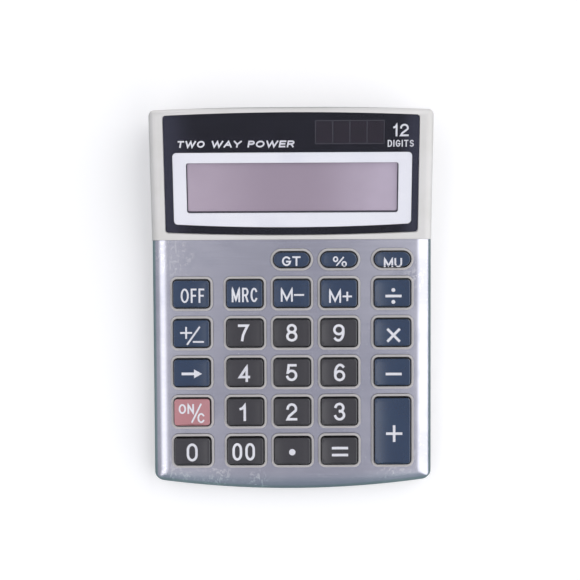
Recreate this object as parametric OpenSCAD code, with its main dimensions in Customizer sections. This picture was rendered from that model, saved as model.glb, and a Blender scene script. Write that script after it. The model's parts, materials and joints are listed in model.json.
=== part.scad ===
// Desk calculator: a wedge-shaped case with a rolled metal faceplate, a raised
// display hood, 27 sprung keys, a solar cell and one AA cell.
// Millimetres. X to the right, Y towards the display, Z up. The origin is on the
// table under the middle of the case.

/* [Case] */
// Width of the case
body_w = 108; // [98:0.5:118]
// Length of the case, front to rear
body_l = 147; // [140:0.5:160]
// Length of the display hood, seen from above
hood_l = 49.8; // [46:0.1:55]
// Slope of the keyboard deck, degrees
deck_tilt = 3; // [2.5:0.1:4]
// Slope of the display hood, degrees
hood_tilt = 13; // [12:0.25:14]
// How far the hood's front edge stands over the faceplate
hood_step = 0.4; // [0.2:0.1:0.8]
// How far the front edge bows out
front_bow = 3.9; // [1:0.1:5]
// How far the rear edge bows out
rear_bow = 1.4; // [0.5:0.1:3]
// Corner radius at the front, seen from above
front_corner_r = 4; // [3:0.5:6]
// Corner radius at the rear, seen from above
rear_corner_r = 2.6; // [2.4:0.1:4]
// Radius of the roll along both sides of the deck
side_roll_r = 4.3; // [3:0.1:5]
// Length of the roll down to the front edge
front_roll_l = 7.5; // [6:0.5:8]
// Radius of the roll down to the front edge
front_roll_r = 9; // [8.5:0.5:12]
// Radius of the hood's edges
hood_roll_r = 3.2; // [2.6:0.1:4]
// Thickness of the side walls
wall_t = 2.2; // [1.8:0.1:2.5]
// Thickness of the plastic deck under the faceplate
deck_t = 1.8; // [1.4:0.1:2.2]
// Thickness of the hood's skin
hood_t = 2.2; // [2:0.1:2.4]
// Thickness of the floor
floor_t = 1.6; // [1.4:0.1:2]
// Height of the joint between the two case halves at the front
parting_h = 4.7; // [4.4:0.1:5.2]

/* [Faceplate] */
// Thickness of the metal sheet
plate_t = 0.5; // [0.4:0.05:0.6]
// Depth of the faceplate's turned-down edges
skirt_h = 5; // [4.6:0.1:5.4]

/* [Keys] */
// Distance of the outer columns from the sides of the case
column_margin = 15.3; // [14:0.1:16]
// How much further out the outer columns stand than the middle spacing gives
outer_shift = 2.4; // [1:0.1:4]
// Space between two caps beside each other in the middle columns
cap_space_x = 4.45; // [4:0.05:5.5]
// Distance of the front row from the front edge
first_row_v = 15.6; // [15:0.1:17]
// Distance of the oval keys from the display hood
oval_margin = 7.6; // [6.5:0.1:8.5]
// Distance of the oval keys from the row before them
oval_row_pitch = 13; // [12.4:0.1:13.4]
// Space between the caps of two rows
cap_space_v = 4.75; // [4.2:0.05:5.5]
// Depth of the oval function keys
oval_d = 5.75; // [5.2:0.05:6.2]
// Corner radius of a key cap
key_r = 1.3; // [0.8:0.1:2]
// How far the caps stand over the faceplate
key_rise = 2.6; // [2.3:0.1:3]
// How far a key goes down
key_travel = 1.3; // [1:0.1:1.4]
// Radius of the hollow across each cap
dish_r = 38; // [30:1:60]
// Wall of the hollow key cap
key_wall = 1.3; // [1:0.1:1.4]
// Thickness of the flange that stops the key under the deck
flange_t = 0.8; // [0.6:0.1:0.9]
// How far the flange reaches past the cap
flange_reach = 1.1; // [0.9:0.05:1.2]
// Radius of the plunger inside each cap
plunger_r = 1.9; // [1.7:0.1:2.2]
// Gap round each cap in its collar
key_gap = 0.5; // [0.4:0.05:0.6]
// Thickness of the plastic collar round each key
collar_t = 0.85; // [0.7:0.05:1]
// How far the collars stand over the faceplate
collar_rise = 0.9; // [0.6:0.1:1.2]

/* [Key mat and circuit board] */
// Thickness of the silicone mat
mat_t = 0.8; // [0.6:0.1:1]
// Height of a dome over the mat
dome_h = 3.4; // [3:0.1:3.8]
// Outer radius of a dome at its foot
dome_r = 4; // [3.6:0.1:4.4]
// Outer radius of a dome at its top
dome_top_r = 2.4; // [2.2:0.1:2.6]
// Radius of a carbon pad
pad_r = 1.6; // [1.3:0.1:1.7]
// Thickness of a carbon pad
pad_t = 0.8; // [0.5:0.1:0.9]
// Thickness of the circuit board
board_t = 1.2; // [1:0.1:1.4]
// Room between the floor and the circuit board under the front edge of the deck
board_room = 1; // [0.7:0.1:2]
// Distance of the board's long edges from the sides of the case
board_margin = 8.7; // [8:0.1:9.6]
// Distance of the board's front edge from the front of the deck
board_front_v = 8; // [7.4:0.1:8.8]
// Distance of the board's rear edge from the display hood
board_rear_gap = 0.8; // [0.4:0.1:1.4]

/* [Display] */
// Distance of the display window from the sides of the case
window_margin = 5.5; // [4.6:0.1:6]
// Distance of the window's front edge from the hood's front edge
window_p = 1.5; // [1.3:0.1:1.8]
// Room left behind the display window
window_rear = 1.2; // [0.9:0.1:2]
// Thickness of the display window
window_t = 1; // [0.8:0.1:1.1]
// Distance of the white surround from the sides of the window
surround_margin = 3; // [2.5:0.1:4]
// Distance of the surround's front edge from the hood's front edge
surround_p = 5; // [4.6:0.1:5.4]
// Space between the surround and the solar cell
solar_space = 2.7; // [2.3:0.1:3.5]
// Width of the surround's sides beside the display
view_side = 5.2; // [4.6:0.1:6]
// Width of the surround before the display
view_front = 5.9; // [5.4:0.1:6.6]
// Width of the surround behind the display
view_rear = 3.9; // [3.5:0.1:4.6]
// Thickness of the two panes of the display
lcd_t = 1.9; // [1.6:0.1:2.1]
// Width of the solar cell
solar_w = 26.4; // [24:0.1:29]
// Length of the solar cell
solar_l = 9.1; // [8.4:0.1:10]
// Distance of the solar cell from the right edge of the window
solar_side = 13.1; // [11:0.1:15]
// Distance of the solar cell from the rear edge of the window
solar_rear = 3.1; // [2.7:0.1:4]

/* [Battery] */
// Diameter of an AA cell
cell_d = 14.3; // [13.7:0.1:14.5]
// Length of an AA cell over its button
cell_l = 50.3; // [49.5:0.1:50.5]
// Room for the contacts and the spring at the ends of the cell
contact_room = 8.1; // [7.4:0.1:9]
// Distance of the battery compartment from the rear edge of the case
bay_rear = 5.75; // [5.4:0.05:7]
// Distance of the battery door's sides from the end walls of the compartment
door_side = 1.7; // [1.7:0.1:2.5]

/* [Feet and screws] */
// Diameter of a rubber foot
foot_d = 8; // [6:0.5:9]
// How far the feet hold the case off the table
foot_rise = 1; // [0.8:0.1:1.4]
// Distance of the feet from the sides of the case
foot_side = 13; // [11:0.5:14]
// Distance of the front feet from the front edge
foot_front = 12; // [10:0.5:13]
// Distance of the rear feet from the rear edge
foot_rear = 18; // [15.5:0.5:20]
// Diameter of a case screw's shank
screw_d = 2.4; // [2:0.1:2.7]
// Diameter of a case screw's head
screw_head_d = 4.6; // [4:0.1:5]
// Distance of the front case screws from the front edge
screw_front = 23.4; // [23:0.1:24]
// Distance of the front case screws from the sides of the case
screw_front_side = 5.1; // [4.9:0.1:5.4]
// Distance of the rear case screws from the rear edge
screw_rear = 7.6; // [7:0.1:8.5]
// Distance of the rear case screws from the sides of the case
screw_rear_side = 7.5; // [7:0.1:8.5]

/* [Hidden] */
$fn = 48;
DISH_FN = 180;
EPS = 0.01;
FAR = 200;                       // longer than any side of the case
CUT = 1;                         // how far a cut runs past the surface it opens
FIT = 0.05;                      // clearance between parts that stay put
LOOSE = 0.1;                     // clearance round pieces that are dropped in
RUN = 0.2;                       // clearance round the battery door's tongues
SCREW_FIT = 0.05;                // clearance between a screw and its hole
EDGE_R = 0.5;                    // smallest corner radius of an outline

// Depths under the faceplate's upper face
deck_under = plate_t + deck_t;
flange_top = deck_under + FIT;
flange_under = flange_top + flange_t;
dome_top = flange_under + FIT;
mat_top = dome_top + dome_h;
board_depth = mat_top + mat_t;
pad_under = board_depth - key_travel;
pad_top = pad_under - pad_t;
board_under = board_depth + board_t;

// Where the deck and the hood start
floor_z = foot_rise + floor_t;
front_h = floor_z + board_room + board_under;
deck_l = body_l - hood_l;
front_y = -body_l / 2;
rear_y = body_l / 2;
seam_y = front_y + deck_l;
seam_z = front_h + deck_l * tan(deck_tilt);

// Key grid
outer_column_x = body_w / 2 - column_margin;
column_pitch = (outer_column_x - outer_shift) / 2;
key_w = column_pitch - cap_space_x;
square_rows = 5;
row_pitch = (deck_l - oval_margin - oval_row_pitch - first_row_v) / (square_rows - 1);
key_d = row_pitch - cap_space_v;
dome_wall = 0.6;
dome_top_wall = 0.3;

// Circuit board and what stands on it
board_w = body_w - 2 * board_margin;
board_rear_v = deck_l - board_rear_gap;
board_l = board_rear_v - board_front_v;
mat_rear_gap = 4.5;
board_screw_rows = [0.5, 2.5, 4.5];
board_post_r = 1.7;
blob_r = 6;
blob_h = 1.6;
blob_v = board_rear_v - 32.4;
capacitor_d = 4;
capacitor_l = 7;
capacitor_v = board_rear_v - 18.4;
capacitor_x = [14, 20];
resistor_size = [2, 1.2, 0.6];
resistor_v = board_rear_v - 24.4;
resistor_x = [-20, -16, -12, 10];

// The display's outlines
window_w = body_w - 2 * window_margin;
window_l = hood_l - window_p - window_rear;
window_bow = 1.1;
window_r = 1.2;
solar_x = window_w / 2 - solar_side - solar_w / 2;
solar_p = window_p + window_l - solar_rear - solar_l;
solar_edge = 0.5;
surround_w = window_w - 2 * surround_margin;
surround_l = solar_p - solar_space - surround_p;
surround_bow = 1.3;
surround_r = 1.5;
view_w = surround_w - 2 * view_side;
view_l = surround_l - view_front - view_rear;
view_p = surround_p + view_front;
view_r = 0.8;
lcd_margin_w = 2.8;
lcd_margin_l = 2.5;
lcd_w = view_w + 2 * lcd_margin_w;
lcd_l = view_l + 2 * lcd_margin_l;
lcd_p = view_p - lcd_margin_l;

// The display's stack, as depths under the hood's upper face
window_inset = 0.1;
window_under = window_inset + window_t;
film_t = 0.15;
film_under = window_under + film_t;
surround_t = 1;
surround_under = window_under + surround_t;
lcd_top = surround_under + FIT;
lcd_under = lcd_top + lcd_t;
reflector_t = 0.2;
reflector_under = lcd_under + reflector_t;
reflector_inset = [0.5, 2];
solar_t = 1.1;

// The tray that holds the display, and its ears
holder_wall = 1.6;
holder_floor_t = 1.2;
holder_top = hood_t + FIT;
holder_under = reflector_under + FIT + holder_floor_t;
holder_w = lcd_w + 2 * (holder_wall + LOOSE);
holder_l = lcd_l + 2 * (holder_wall + LOOSE);
holder_p = lcd_p - holder_wall - LOOSE;
ear_r = 2.2;
ear_t = 1.4;
ear_drop = 1.2;
ear_inset = 5;
ear_root = 1;
ear_x = holder_w / 2 + ear_r + LOOSE;
ear_p = [holder_p + ear_inset, holder_p + holder_l - ear_inset];
ear_top = hood_t + ear_drop;

// Heat-seal ribbon from the display to the board
ribbon_gap = 0.7;
ribbon_t = 0.2;
ribbon_lift = 0.4;
ribbon_slot_h = 1;
ribbon_in = 1;
ribbon_out = 1.2;
ribbon_first_bend = [-0.8, -1.5];
ribbon_last_bend = [1.2, 1.3];
ribbon_landing = 1.8;

// Battery compartment
bay_w = cell_l + contact_room;
bay_wall = 1.5;
ribbon_w = bay_w + 2 * (bay_wall - ribbon_gap);  // the ribbon lands between the battery's wires
bay_gap = 0.6;
bay_rear_y = rear_y - bay_rear;
cell_y = bay_rear_y - bay_gap - cell_d / 2;
bay_front_y = cell_y - cell_d / 2 - bay_gap;
button_d = 5.4;
button_l = 1;
insulator_t = 0.3;
insulator_rim = 0.75;
contact_t = 0.3;
contact_w = 11;
contact_h = 11;
contact_low = -4.5;
contact_x = bay_w / 2 - FIT;
cell_end_x = contact_x - contact_t - FIT;
spring_wire_r = 0.35;
spring_turns = 4;
spring_sides = 6;
spring_steps = 16;
spring_foot_r = 4.6;
spring_tip_r = 2.6;
spring_weld = 0.1;
tongue_w = 1.4;
tongue_t = 0.8;
lip_t = 0.9;
lip_z = floor_z + FIT + tongue_t + RUN;
lip_reach = 1.1;
cell_rest = 0.15;
cell_z = lip_z + cell_rest + cell_d / 2;
bay_rise = 4.5;
bay_top = cell_z + bay_rise;
door_w = bay_w - 2 * door_side;
door_lap = 1;
door_front_y = bay_front_y - door_lap;
tongue_l = rear_y - rear_bow - wall_t - door_front_y;
grip_w = 16;
grip_l = 0.8;
grip_depth = 0.4;
grip_pitch = 1.6;
grip_start = 5;
grips = 4;

// Screws and feet
head_t = 1.8;
head_slot = [2.8, 0.6, 0.9];
screw_web = 2.7;
screw_l = 4.6;
case_hole_spare = 0.6;
post_r = screw_d / 2 + 1.4;
boss_r = screw_head_d / 2 + 1.1;
post_drop = 0.6;
small_screw_d = 1.6;
small_screw_l = 3.6;
small_head_d = 3.4;
small_head_t = 1.1;
small_head_slot = [2, 0.4, 0.5];
board_hole_spare = 0.5;
ear_hole_spare = 0.2;
foot_sink = 0.5;
front_screws_at = [for (side = [-1, 1]) [side * (body_w / 2 - screw_front_side), front_y + screw_front]];
rear_screws_at = [for (side = [-1, 1]) [side * (body_w / 2 - screw_rear_side), rear_y - screw_rear]];
case_screws_at = concat(front_screws_at, rear_screws_at);
board_screws_at = [
    for (side = [-1, 1], row = board_screw_rows)
        [side * (outer_column_x + column_pitch) / 2, first_row_v + row * row_pitch]
];
feet_at = [
    for (side = [-1, 1], y = [front_y + foot_front, rear_y - foot_rear]) [side * (body_w / 2 - foot_side), y]
];

// Wires. Each route is a list of [y, z] from its source to the board's rear edge
wire_r = 0.45;
wire_sides = 8;
board_landing = deck_point(board_rear_v - 2, board_depth - wire_r - FIT);
wire_z = floor_z + 7.65;             // height at which the wires run forward
board_approach = [
    [bay_front_y - 9, wire_z + 0.25], [seam_y + 10, wire_z - 0.25], [seam_y + 4, wire_z + 0.15],
    board_landing + [2, 0.15], board_landing
];
battery_route = concat(
    [[cell_y - 2, cell_z + 3], [bay_front_y - 1, cell_z + 2.5], [bay_front_y - 5, cell_z]], board_approach
);
battery_wire_x = bay_w / 2 + bay_wall + wire_r + FIT;
solar_under = film_under + solar_t;
solar_start = [hood_point(solar_p + 3, solar_under + 3 * FIT), hood_point(solar_p + 3, solar_under + 2.65)];
solar_descent = concat([[rear_y - 16, bay_top + 1.55], [bay_front_y - 2, bay_top - 2.95]], board_approach);
solar_pad_x = [for (from_edge = [2.4, 0.8]) solar_x + solar_w / 2 - from_edge];
solar_wire_x = [for (step = [1.7, 3.3]) battery_wire_x + step];
BLACK_WIRE = [0.1, 0.1, 0.1];
RED_WIRE = [0.7, 0.1, 0.1];

// Keys: name, column, row counted from the front, kind
KEYS = [
    ["key_0", 0, 0, "digit"], ["key_00", 1, 0, "digit"], ["key_point", 2, 0, "digit"],
    ["key_equals", 3, 0, "digit"], ["key_plus", 4, 0, "tall"],
    ["key_on_clear", 0, 1, "clear"], ["key_1", 1, 1, "digit"], ["key_2", 2, 1, "digit"],
    ["key_3", 3, 1, "digit"],
    ["key_arrow", 0, 2, "function"], ["key_4", 1, 2, "digit"], ["key_5", 2, 2, "digit"],
    ["key_6", 3, 2, "digit"], ["key_minus", 4, 2, "function"],
    ["key_sign", 0, 3, "function"], ["key_7", 1, 3, "digit"], ["key_8", 2, 3, "digit"],
    ["key_9", 3, 3, "digit"], ["key_multiply", 4, 3, "function"],
    ["key_off", 0, 4, "function"], ["key_mrc", 1, 4, "function"], ["key_m_minus", 2, 4, "function"],
    ["key_m_plus", 3, 4, "function"], ["key_divide", 4, 4, "function"],
    ["key_gt", 2, 5, "oval"], ["key_percent", 3, 5, "oval"], ["key_mu", 4, 5, "oval"]
];
COLUMN_X = [-outer_column_x, -column_pitch, 0, column_pitch, outer_column_x];

function row_v(row) = row < square_rows ? first_row_v + row * row_pitch : deck_l - oval_margin;
function key_x(k) = COLUMN_X[k[1]];
function key_v(k) = k[3] == "tall" ? (row_v(0) + row_v(1)) / 2 : row_v(k[2]);
function key_size(k) = k[3] == "tall" ? [key_w, key_d + row_pitch]
    : k[3] == "oval" ? [key_w, oval_d] : [key_w, key_d];
function key_corner(k, grow) = k[3] == "oval" ? oval_d / 2 + grow : key_r + grow;
function key_colour(k) = k[3] == "digit" ? [0.24, 0.24, 0.27]
    : k[3] == "clear" ? [0.76, 0.55, 0.56] : [0.2, 0.27, 0.38];
function parting_z(y) = parting_h + (y - front_y) * tan(deck_tilt);

// Frames: the deck's runs from the front edge, the hood's from its own front edge
module on_deck() translate([0, front_y, front_h]) rotate([deck_tilt, 0, 0]) children();
module on_hood() translate([0, seam_y, seam_z + hood_step]) rotate([hood_tilt, 0, 0]) children();
// Turns a drawing of (Y, Z) into a bar along X
module along_x(length) rotate([90, 0, 90]) linear_extrude(length, center = true) children();
// Turns a drawing of (X, Z) into a bar along Y
module along_y(length)
    translate([0, length / 2, 0]) rotate([90, 0, 0]) linear_extrude(length) children();

// Points on an arc about c, without the first one
function arc(c, r, from, to, steps) = [
    for (i = [1:steps]) let (a = from + (to - from) * i / steps) c + r * [cos(a), sin(a)]
];
function bow_radius(half, bow) = (half * half + bow * bow) / (2 * bow);
// Outline of width w and length l from y = 0, with bowed front and rear edges and round
// corners, moved inwards all round by inset
function bowed(w, l, bows, radii, inset = 0) = let (
    half = w / 2 - inset,
    big_f = bow_radius(w / 2, bows[0]),
    big_r = bow_radius(w / 2, bows[1]),
    rf = max(radii[0] - inset, EDGE_R),
    rr = max(radii[1] - inset, EDGE_R),
    centre_f = [0, big_f],
    centre_r = [0, l - big_r],
    corner_f = [half - rf, big_f - sqrt(pow(big_f - inset - rf, 2) - pow(half - rf, 2))],
    corner_r = [half - rr, l - big_r + sqrt(pow(big_r - inset - rr, 2) - pow(half - rr, 2))],
    turn_f = atan2(corner_f[1] - big_f, corner_f[0]),
    turn_r = atan2(corner_r[1] - centre_r[1], corner_r[0])
) concat(
    arc(centre_f, big_f - inset, -180 - turn_f, turn_f, 14),
    arc(corner_f, rf, turn_f, 0, 6),
    arc(corner_r, rr, 0, turn_r, 6),
    arc(centre_r, big_r - inset, turn_r, 180 - turn_r, 14),
    arc([-corner_r[0], corner_r[1]], rr, 180 - turn_r, 180, 6),
    arc([-corner_f[0], corner_f[1]], rf, 180, 180 - turn_f, 6)
);
module plan(inset) translate([0, front_y])
    polygon(bowed(body_w, body_l, [front_bow, rear_bow], [front_corner_r, rear_corner_r], inset));
module plan_prism(inset) linear_extrude(FAR) plan(inset);

// A rectangle with round corners, or with round ends where r is half its depth
module rounded(w, d, r) {
    square([w - 2 * r, d], center = true);
    if (2 * r < d) {
        square([w, d - 2 * r], center = true);
        for (x = [-1, 1], y = [-1, 1]) translate([x * (w / 2 - r), y * (d / 2 - r)]) circle(r);
    } else for (x = [-1, 1]) translate([x * (w / 2 - r), 0]) circle(d / 2);
}
module slab(w, l, t, top, p) translate([-w / 2, p, -top - t]) cube([w, l, t]);

// All that lies under the deck's surface, moved inwards by inset: the surface rolls
// down along both sides and at the front
module deck_form(inset) on_deck() intersection() {
    along_y(2 * FAR) edge_section(side_roll_r, inset);
    along_x(FAR) {
        translate([front_roll_l, -FAR]) square([FAR, FAR - inset]);
        translate([-FAR, -FAR]) square([FAR + front_roll_l, FAR - front_roll_r]);
        translate([front_roll_l, -front_roll_r]) circle(front_roll_r - inset);
    }
}
// Half-plane section with both upper edges rolled
module edge_section(r, inset) {
    translate([r - body_w / 2, -FAR]) square([body_w - 2 * r, FAR - inset]);
    translate([inset - body_w / 2, -FAR]) square([body_w - 2 * inset, FAR - r]);
    for (side = [-1, 1]) translate([side * (body_w / 2 - r), -r]) circle(r - inset);
}
// All that lies under the hood's surface, moved inwards by inset
module hood_form(inset) {
    roll_y = rear_y - hood_roll_r;
    roll_p = (roll_y - seam_y - hood_roll_r * sin(hood_tilt)) / cos(hood_tilt);
    roll_z = seam_z + hood_step + roll_p * sin(hood_tilt) - hood_roll_r * cos(hood_tilt);
    intersection() {
        on_hood() along_y(2 * FAR) edge_section(hood_roll_r, inset);
        union() {
            on_hood() along_x(FAR) translate([roll_p - FAR, -FAR]) square([FAR, FAR - inset]);
            along_x(FAR) translate([roll_y, roll_z]) circle(hood_roll_r - inset);
            translate([-FAR / 2, seam_y - FAR / 2, 0]) cube([FAR, FAR, roll_z]);
        }
    }
}
module behind(y) translate([-FAR / 2, y, 0]) cube([FAR, FAR, FAR]);
module before(y) translate([-FAR / 2, y - FAR, 0]) cube([FAR, FAR, FAR]);
// Everything under the plane at this depth below the faceplate
module under_deck(depth) on_deck()
    translate([-FAR / 2, -FAR / 2, -FAR - depth]) cube([FAR, 2 * FAR, FAR]);
module over_parting() translate([0, front_y, parting_h]) rotate([deck_tilt, 0, 0])
    translate([-FAR / 2, -FAR / 2, 0]) cube([FAR, 2 * FAR, FAR]);

module key_hole(k, grow) translate([key_x(k), key_v(k)]) {
    size = key_size(k);
    rounded(size[0] + 2 * grow, size[1] + 2 * grow, key_corner(k, grow));
}

// ---- keys -------------------------------------------------------------------------

module key(k) {
    size = key_size(k);
    color(key_colour(k)) on_deck() translate([key_x(k), key_v(k), 0]) difference() {
        union() {
            translate([0, 0, -flange_under]) linear_extrude(flange_under + key_rise)
                rounded(size[0], size[1], key_corner(k, 0));
            translate([0, 0, -flange_under]) linear_extrude(flange_t)
                rounded(size[0] + 2 * flange_reach, size[1] + 2 * flange_reach, key_r);
        }
        translate([0, 0, key_rise + dish_r - pow(size[0] / 2, 2) / (2 * dish_r)])
            rotate([90, 0, 0]) cylinder(r = dish_r, h = FAR / 2, center = true, $fn = DISH_FN);
        difference() {
            translate([0, 0, -flange_under - EPS]) linear_extrude(flange_under + key_rise - 2 * key_wall)
                rounded(size[0] - 2 * key_wall, size[1] - 2 * key_wall, EDGE_R);
            translate([0, 0, -flange_under]) cylinder(r = plunger_r, h = FAR / 4);
        }
    }
}

// ---- case -------------------------------------------------------------------------

module upper_case() color([0.86, 0.85, 0.84]) {
    difference() {
        union() {
            upper_shell();
            on_deck() for (k = KEYS) translate([0, 0, -deck_under])
                linear_extrude(deck_under + collar_rise) key_hole(k, key_gap + collar_t);
            upper_posts();
        }
        on_deck() for (k = KEYS) translate([0, 0, -deck_under - EPS])
            linear_extrude(deck_under + collar_rise + 2 * EPS) key_hole(k, key_gap);
        display_cuts();
        for (at = case_screws_at) translate([at[0], at[1], parting_z(at[1]) - screw_web])
            cylinder(d = screw_d + 2 * SCREW_FIT, h = screw_l + case_hole_spare);
        on_deck() for (at = board_screws_at) translate([at[0], at[1], -board_depth - EPS])
            cylinder(d = small_screw_d + 2 * SCREW_FIT, h = small_screw_l - board_t + board_hole_spare);
        on_hood() for (side = [-1, 1], p = ear_p) translate([side * ear_x, p, -ear_top - EPS])
            cylinder(d = small_screw_d + 2 * SCREW_FIT, h = small_screw_l - ear_t + ear_hole_spare);
    }
}
module upper_shell() intersection() {
    over_parting();
    difference() {
        intersection() {
            plan_prism(0);
            union() {
                intersection() { hood_form(0); behind(seam_y); }
                intersection() {
                    deck_form(plate_t + FIT);
                    plan_prism(plate_t + FIT);
                    before(seam_y + EPS);
                }
                intersection() { under_deck(skirt_h + FIT); before(seam_y + EPS); }
            }
        }
        intersection() {
            plan_prism(wall_t + plate_t);
            union() {
                deck_form(deck_under);
                intersection() { hood_form(hood_t); behind(seam_y); }
            }
        }
    }
}
// Screw posts: four to the lower case, six to the circuit board, four to the display
module upper_posts() {
    intersection() {
        over_parting();
        plan_prism(plate_t + FIT);
        union() {
            deck_form(deck_under - EPS);
            intersection() { hood_form(hood_t - EPS); behind(seam_y); }
        }
        union() {
            for (at = rear_screws_at) translate([at[0], at[1], 0]) cylinder(r = post_r, h = FAR);
            intersection() {
                under_deck(flange_under + key_travel + post_drop);
                for (at = front_screws_at) translate([at[0], at[1], 0]) {
                    cylinder(r = post_r, h = FAR);
                    translate([at[0] > 0 ? 0 : -FAR, -post_r, 0]) cube([FAR, 2 * post_r, FAR]);
                }
            }
        }
    }
    on_deck() for (at = board_screws_at) translate([at[0], at[1], -board_depth])
        cylinder(r = board_post_r, h = board_depth - deck_under + EPS);
    on_hood() for (side = [-1, 1], p = ear_p) translate([side * ear_x, p, -ear_top])
        cylinder(r = ear_r, h = ear_top - hood_t + EPS);
}
module display_cuts() on_hood() {
    translate([0, window_p, -film_under]) linear_extrude(FAR)
        polygon(bowed(window_w + 2 * LOOSE, window_l, [window_bow, window_bow], [window_r, window_r]));
    translate([0, surround_p - LOOSE, -hood_t - CUT]) linear_extrude(hood_t + CUT)
        polygon(surround_outline(LOOSE));
    translate([solar_x, 0, 0]) slab(solar_w + 2 * (solar_edge + LOOSE), solar_l + 2 * (solar_edge + LOOSE),
        hood_t + CUT, 0, solar_p - solar_edge - LOOSE);
}

module lower_case() color([0.84, 0.83, 0.81]) difference() {
    union() {
        difference() {
            translate([0, 0, foot_rise]) linear_extrude(FAR) plan(0);
            translate([0, 0, floor_z]) linear_extrude(FAR) plan(wall_t + plate_t);
            over_parting();
        }
        difference() {
            union() {
                for (at = case_screws_at) translate([at[0], at[1], foot_rise])
                    cylinder(r = boss_r, h = FAR / 4);
                bay_walls();
            }
            over_boss_ends();
        }
    }
    door_way();
    for (at = case_screws_at) translate([at[0], at[1], 0]) {
        cylinder(d = screw_head_d + 2 * LOOSE, h = parting_z(at[1]) - screw_web);
        cylinder(d = screw_d + 2 * LOOSE, h = FAR);
    }
    for (at = feet_at) translate([at[0], at[1], 0])
        cylinder(d = foot_d + 2 * LOOSE, h = foot_rise + foot_sink);
}
// The bosses end at the joint, and the battery compartment stands over it
module over_boss_ends() difference() {
    over_parting();
    translate([-bay_w / 2 - bay_wall, bay_front_y - bay_wall, 0])
        cube([bay_w + 2 * bay_wall, FAR, bay_top]);
}
module bay_walls() intersection() {
    translate([0, 0, foot_rise]) linear_extrude(bay_top - foot_rise) plan(wall_t);
    translate([0, 0, foot_rise]) difference() {
        translate([-bay_w / 2 - bay_wall, bay_front_y - bay_wall, 0])
            cube([bay_w + 2 * bay_wall, bay_rear_y - bay_front_y + 2 * bay_wall, bay_top]);
        translate([-bay_w / 2, bay_front_y, lip_z + lip_t - foot_rise])
            cube([bay_w, bay_rear_y - bay_front_y, FAR]);
        translate([lip_reach - bay_w / 2, bay_front_y, -CUT])
            cube([bay_w - 2 * lip_reach, bay_rear_y - bay_front_y, FAR]);
    }
}
// The door's opening in the floor and rear wall, with the slots for its tongues
module door_way() {
    translate([-door_w / 2 - RUN, door_front_y - RUN, 0]) cube([door_w + 2 * RUN, FAR, lip_z]);
    translate([-door_w / 2 - tongue_w - RUN, door_front_y - RUN, floor_z])
        cube([door_w + 2 * (tongue_w + RUN), FAR, lip_z - floor_z]);
}

module faceplate() color([0.66, 0.66, 0.71]) difference() {
    intersection() {
        deck_form(0);
        plan_prism(0);
        before(seam_y - LOOSE);
    }
    intersection() {
        deck_form(plate_t);
        plan_prism(plate_t);
    }
    under_deck(skirt_h);
    on_deck() for (k = KEYS) translate([0, 0, -deck_under]) linear_extrude(FAR / 4)
        key_hole(k, key_gap + collar_t + LOOSE);
}

// ---- display ----------------------------------------------------------------------

function surround_outline(grow) = bowed(surround_w + 2 * grow, surround_l + 2 * grow,
    [surround_bow, EPS], [surround_r + grow, surround_r + grow]);

module display_window() color([0.8, 0.82, 0.85, 0.35]) on_hood()
    translate([0, window_p + LOOSE, -window_under]) linear_extrude(window_t) polygon(window_outline());
function window_outline() =
    bowed(window_w, window_l - 2 * LOOSE, [window_bow, window_bow], [window_r, window_r]);

module window_mask() color([0.13, 0.13, 0.15]) on_hood() difference() {
    translate([0, window_p + LOOSE, -film_under]) linear_extrude(film_t) polygon(window_outline());
    translate([0, surround_p - LOOSE, -film_under - CUT]) linear_extrude(film_t + 2 * CUT)
        polygon(surround_outline(LOOSE));
    translate([solar_x, 0, 0]) slab(solar_w, solar_l, film_t + 2 * CUT, window_under - CUT, solar_p);
}

module lcd_surround() color([0.92, 0.92, 0.95]) on_hood() translate([0, 0, -surround_under]) difference() {
    translate([0, surround_p, 0]) linear_extrude(surround_t) polygon(surround_outline(0));
    translate([0, view_p + view_l / 2, -CUT]) linear_extrude(surround_t + 2 * CUT)
        rounded(view_w, view_l, view_r);
}

module lcd_glass() color([0.64, 0.6, 0.66]) on_hood() slab(lcd_w, lcd_l, lcd_t, lcd_top, lcd_p);

module lcd_reflector() color([0.75, 0.75, 0.76]) on_hood()
    slab(lcd_w - 2 * reflector_inset[0], lcd_l - 2 * reflector_inset[1], reflector_t, lcd_under,
        lcd_p + reflector_inset[1]);

module lcd_holder() color([0.9, 0.9, 0.9]) on_hood() difference() {
    union() {
        slab(holder_w, holder_l, holder_under - holder_top, holder_top, holder_p);
        for (side = [-1, 1], p = ear_p) {
            translate([side * ear_x, p, -ear_top - ear_t - FIT]) cylinder(r = ear_r, h = ear_t);
            translate([side > 0 ? holder_w / 2 - ear_root : -ear_x, p - ear_r, -ear_top - ear_t - FIT])
                cube([ear_x - holder_w / 2 + ear_root, 2 * ear_r, ear_t]);
        }
    }
    slab(lcd_w + 2 * LOOSE, lcd_l + 2 * LOOSE, lcd_top + lcd_t + reflector_t + FIT, 0, lcd_p - LOOSE);
    for (side = [-1, 1], p = ear_p) translate([side * ear_x, p, -FAR / 4])
        cylinder(d = small_screw_d + 2 * LOOSE, h = FAR / 4);
    ribbon_slot();
}
// The ribbon leaves the holder through a slot in its front wall
module ribbon_slot() slab(ribbon_w + 2 * LOOSE, holder_wall + 2 * CUT, ribbon_slot_h,
    lcd_under - ribbon_slot_h, holder_p - CUT);

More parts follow.
